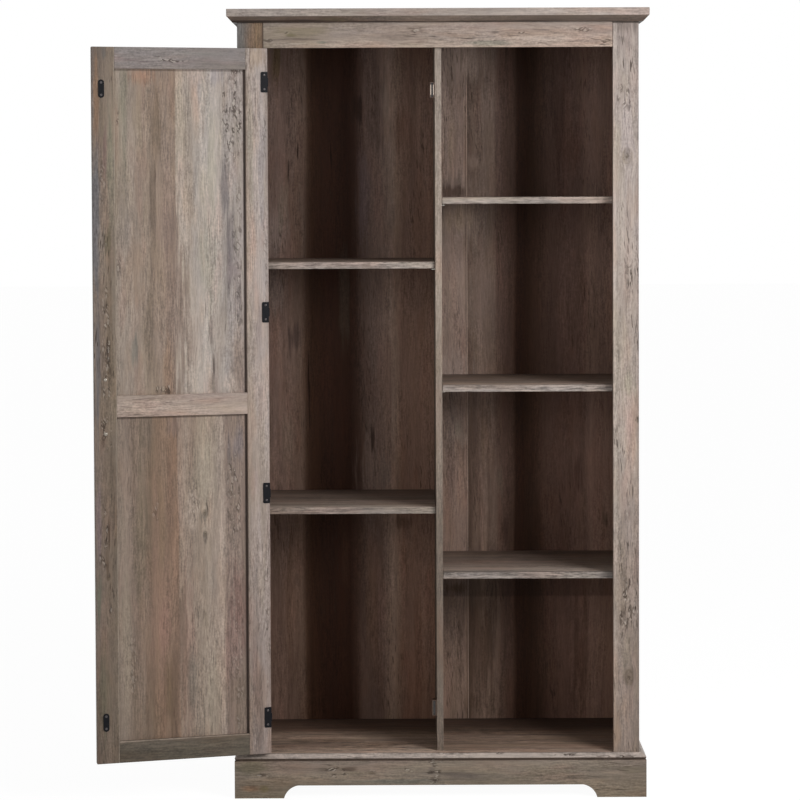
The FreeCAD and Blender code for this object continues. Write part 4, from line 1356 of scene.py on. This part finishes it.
def lamp(name, power, size, place, aim):
    """A soft rectangular lamp that shines from one place at another."""
    data = bpy.data.lights.new(name, "AREA")
    data.energy = power
    data.shape = "RECTANGLE"
    data.size, data.size_y = size
    lamp_object = bpy.data.objects.new(name, data)
    bpy.context.scene.collection.objects.link(lamp_object)
    facing = (Vector(aim) - Vector(place)).to_track_quat("-Z", "Y")
    lamp_object.matrix_world = Matrix.Translation(place) @ facing.to_matrix().to_4x4()


def surround(scene, strength):
    """White all round: full where it is seen, and of this strength where it lights things."""
    scene.world = bpy.data.worlds.new("surroundings")
    scene.world.use_nodes = True
    nodes = Nodes(scene.world.node_tree)
    background = nodes.tree.nodes["Background"]
    background.inputs["Color"].default_value = WHITE
    nodes.feed(background.inputs["Strength"], nodes.seen() * (1 - strength) + strength)


def floor_paint(colour):
    """White paint that keeps shadows, lifted a little where the camera sees it."""
    finish = Finish("floor_paint")
    paint = Channel(finish, finish.surface.outputs[0])
    finish.shaded(colour, 0.9)
    glow = finish.add("ShaderNodeEmission", None, {"Strength": FLOOR_GLOW})
    blend = finish.add("ShaderNodeMixShader", None,
                       {0: finish.seen() * FLOOR_GLOW_SHARE, 1: paint, 2: glow})
    finish.feed(finish.tree.nodes["Material Output"].inputs["Surface"], blend)
    return finish.material


class CABINET_OT_stage(bpy.types.Operator):
    """A pale floor, white surroundings and two soft lamps"""
    bl_idname = "cabinet.stage"
    bl_label = "Stage"

    def execute(self, context):
        settings = context.scene.cabinet_light
        lamp("key", settings.key_power, *KEY_LAMP)
        lamp("fill", settings.fill_power, *FILL_LAMP)
        surround(context.scene, settings.sky)
        bpy.ops.object.select_all(action="DESELECT")
        bpy.ops.mesh.primitive_plane_add(size=FLOOR_SIZE, location=(0.0, 0.0, 0.0))
        floor = context.object
        floor.name = "floor"
        floor.data.materials.append(floor_paint(settings.floor))
        return {"FINISHED"}


class CABINET_PT_panel(bpy.types.Panel):
    """The steps in order"""
    bl_label = "Tall cabinet"
    bl_idname = "CABINET_PT_panel"
    bl_space_type = "VIEW_3D"
    bl_region_type = "UI"
    bl_category = "Cabinet"

    def draw(self, context):
        for group in ("cabinet_camera", "cabinet_light", "cabinet_oak", "cabinet_iron"):
            settings = getattr(context.scene, group)
            box = self.layout.box()
            for name in settings.bl_rna.properties.keys():
                if name not in ("rna_type", "name"):
                    box.prop(settings, name)
        for operator in OPERATORS:
            self.layout.operator(operator.bl_idname)


OPERATORS = (CABINET_OT_camera, CABINET_OT_stage, CABINET_OT_face_frame, CABINET_OT_crown,
             CABINET_OT_plinth, CABINET_OT_carcass, CABINET_OT_back, CABINET_OT_shelves,
             CABINET_OT_door, CABINET_OT_ironwork, CABINET_OT_screws)
GROUPS = {"cabinet_camera": CabinetCamera, "cabinet_light": CabinetLight,
          "cabinet_oak": CabinetOak, "cabinet_iron": CabinetIron}


def register():
    for name, group in GROUPS.items():
        bpy.utils.register_class(group)
        setattr(bpy.types.Scene, name, bpy.props.PointerProperty(type=group))
    for operator in OPERATORS:
        bpy.utils.register_class(operator)
    bpy.utils.register_class(CABINET_PT_panel)


def unregister():
    bpy.utils.unregister_class(CABINET_PT_panel)
    for operator in reversed(OPERATORS):
        bpy.utils.unregister_class(operator)
    for name, group in GROUPS.items():
        delattr(bpy.types.Scene, name)
        bpy.utils.unregister_class(group)


def main():
    register()
    bpy.context.scene.view_settings.view_transform = "Standard"
    for operator in OPERATORS:
        area, action = operator.bl_idname.split(".")
        getattr(getattr(bpy.ops, area), action)()


if __name__ == "__main__":
    main()
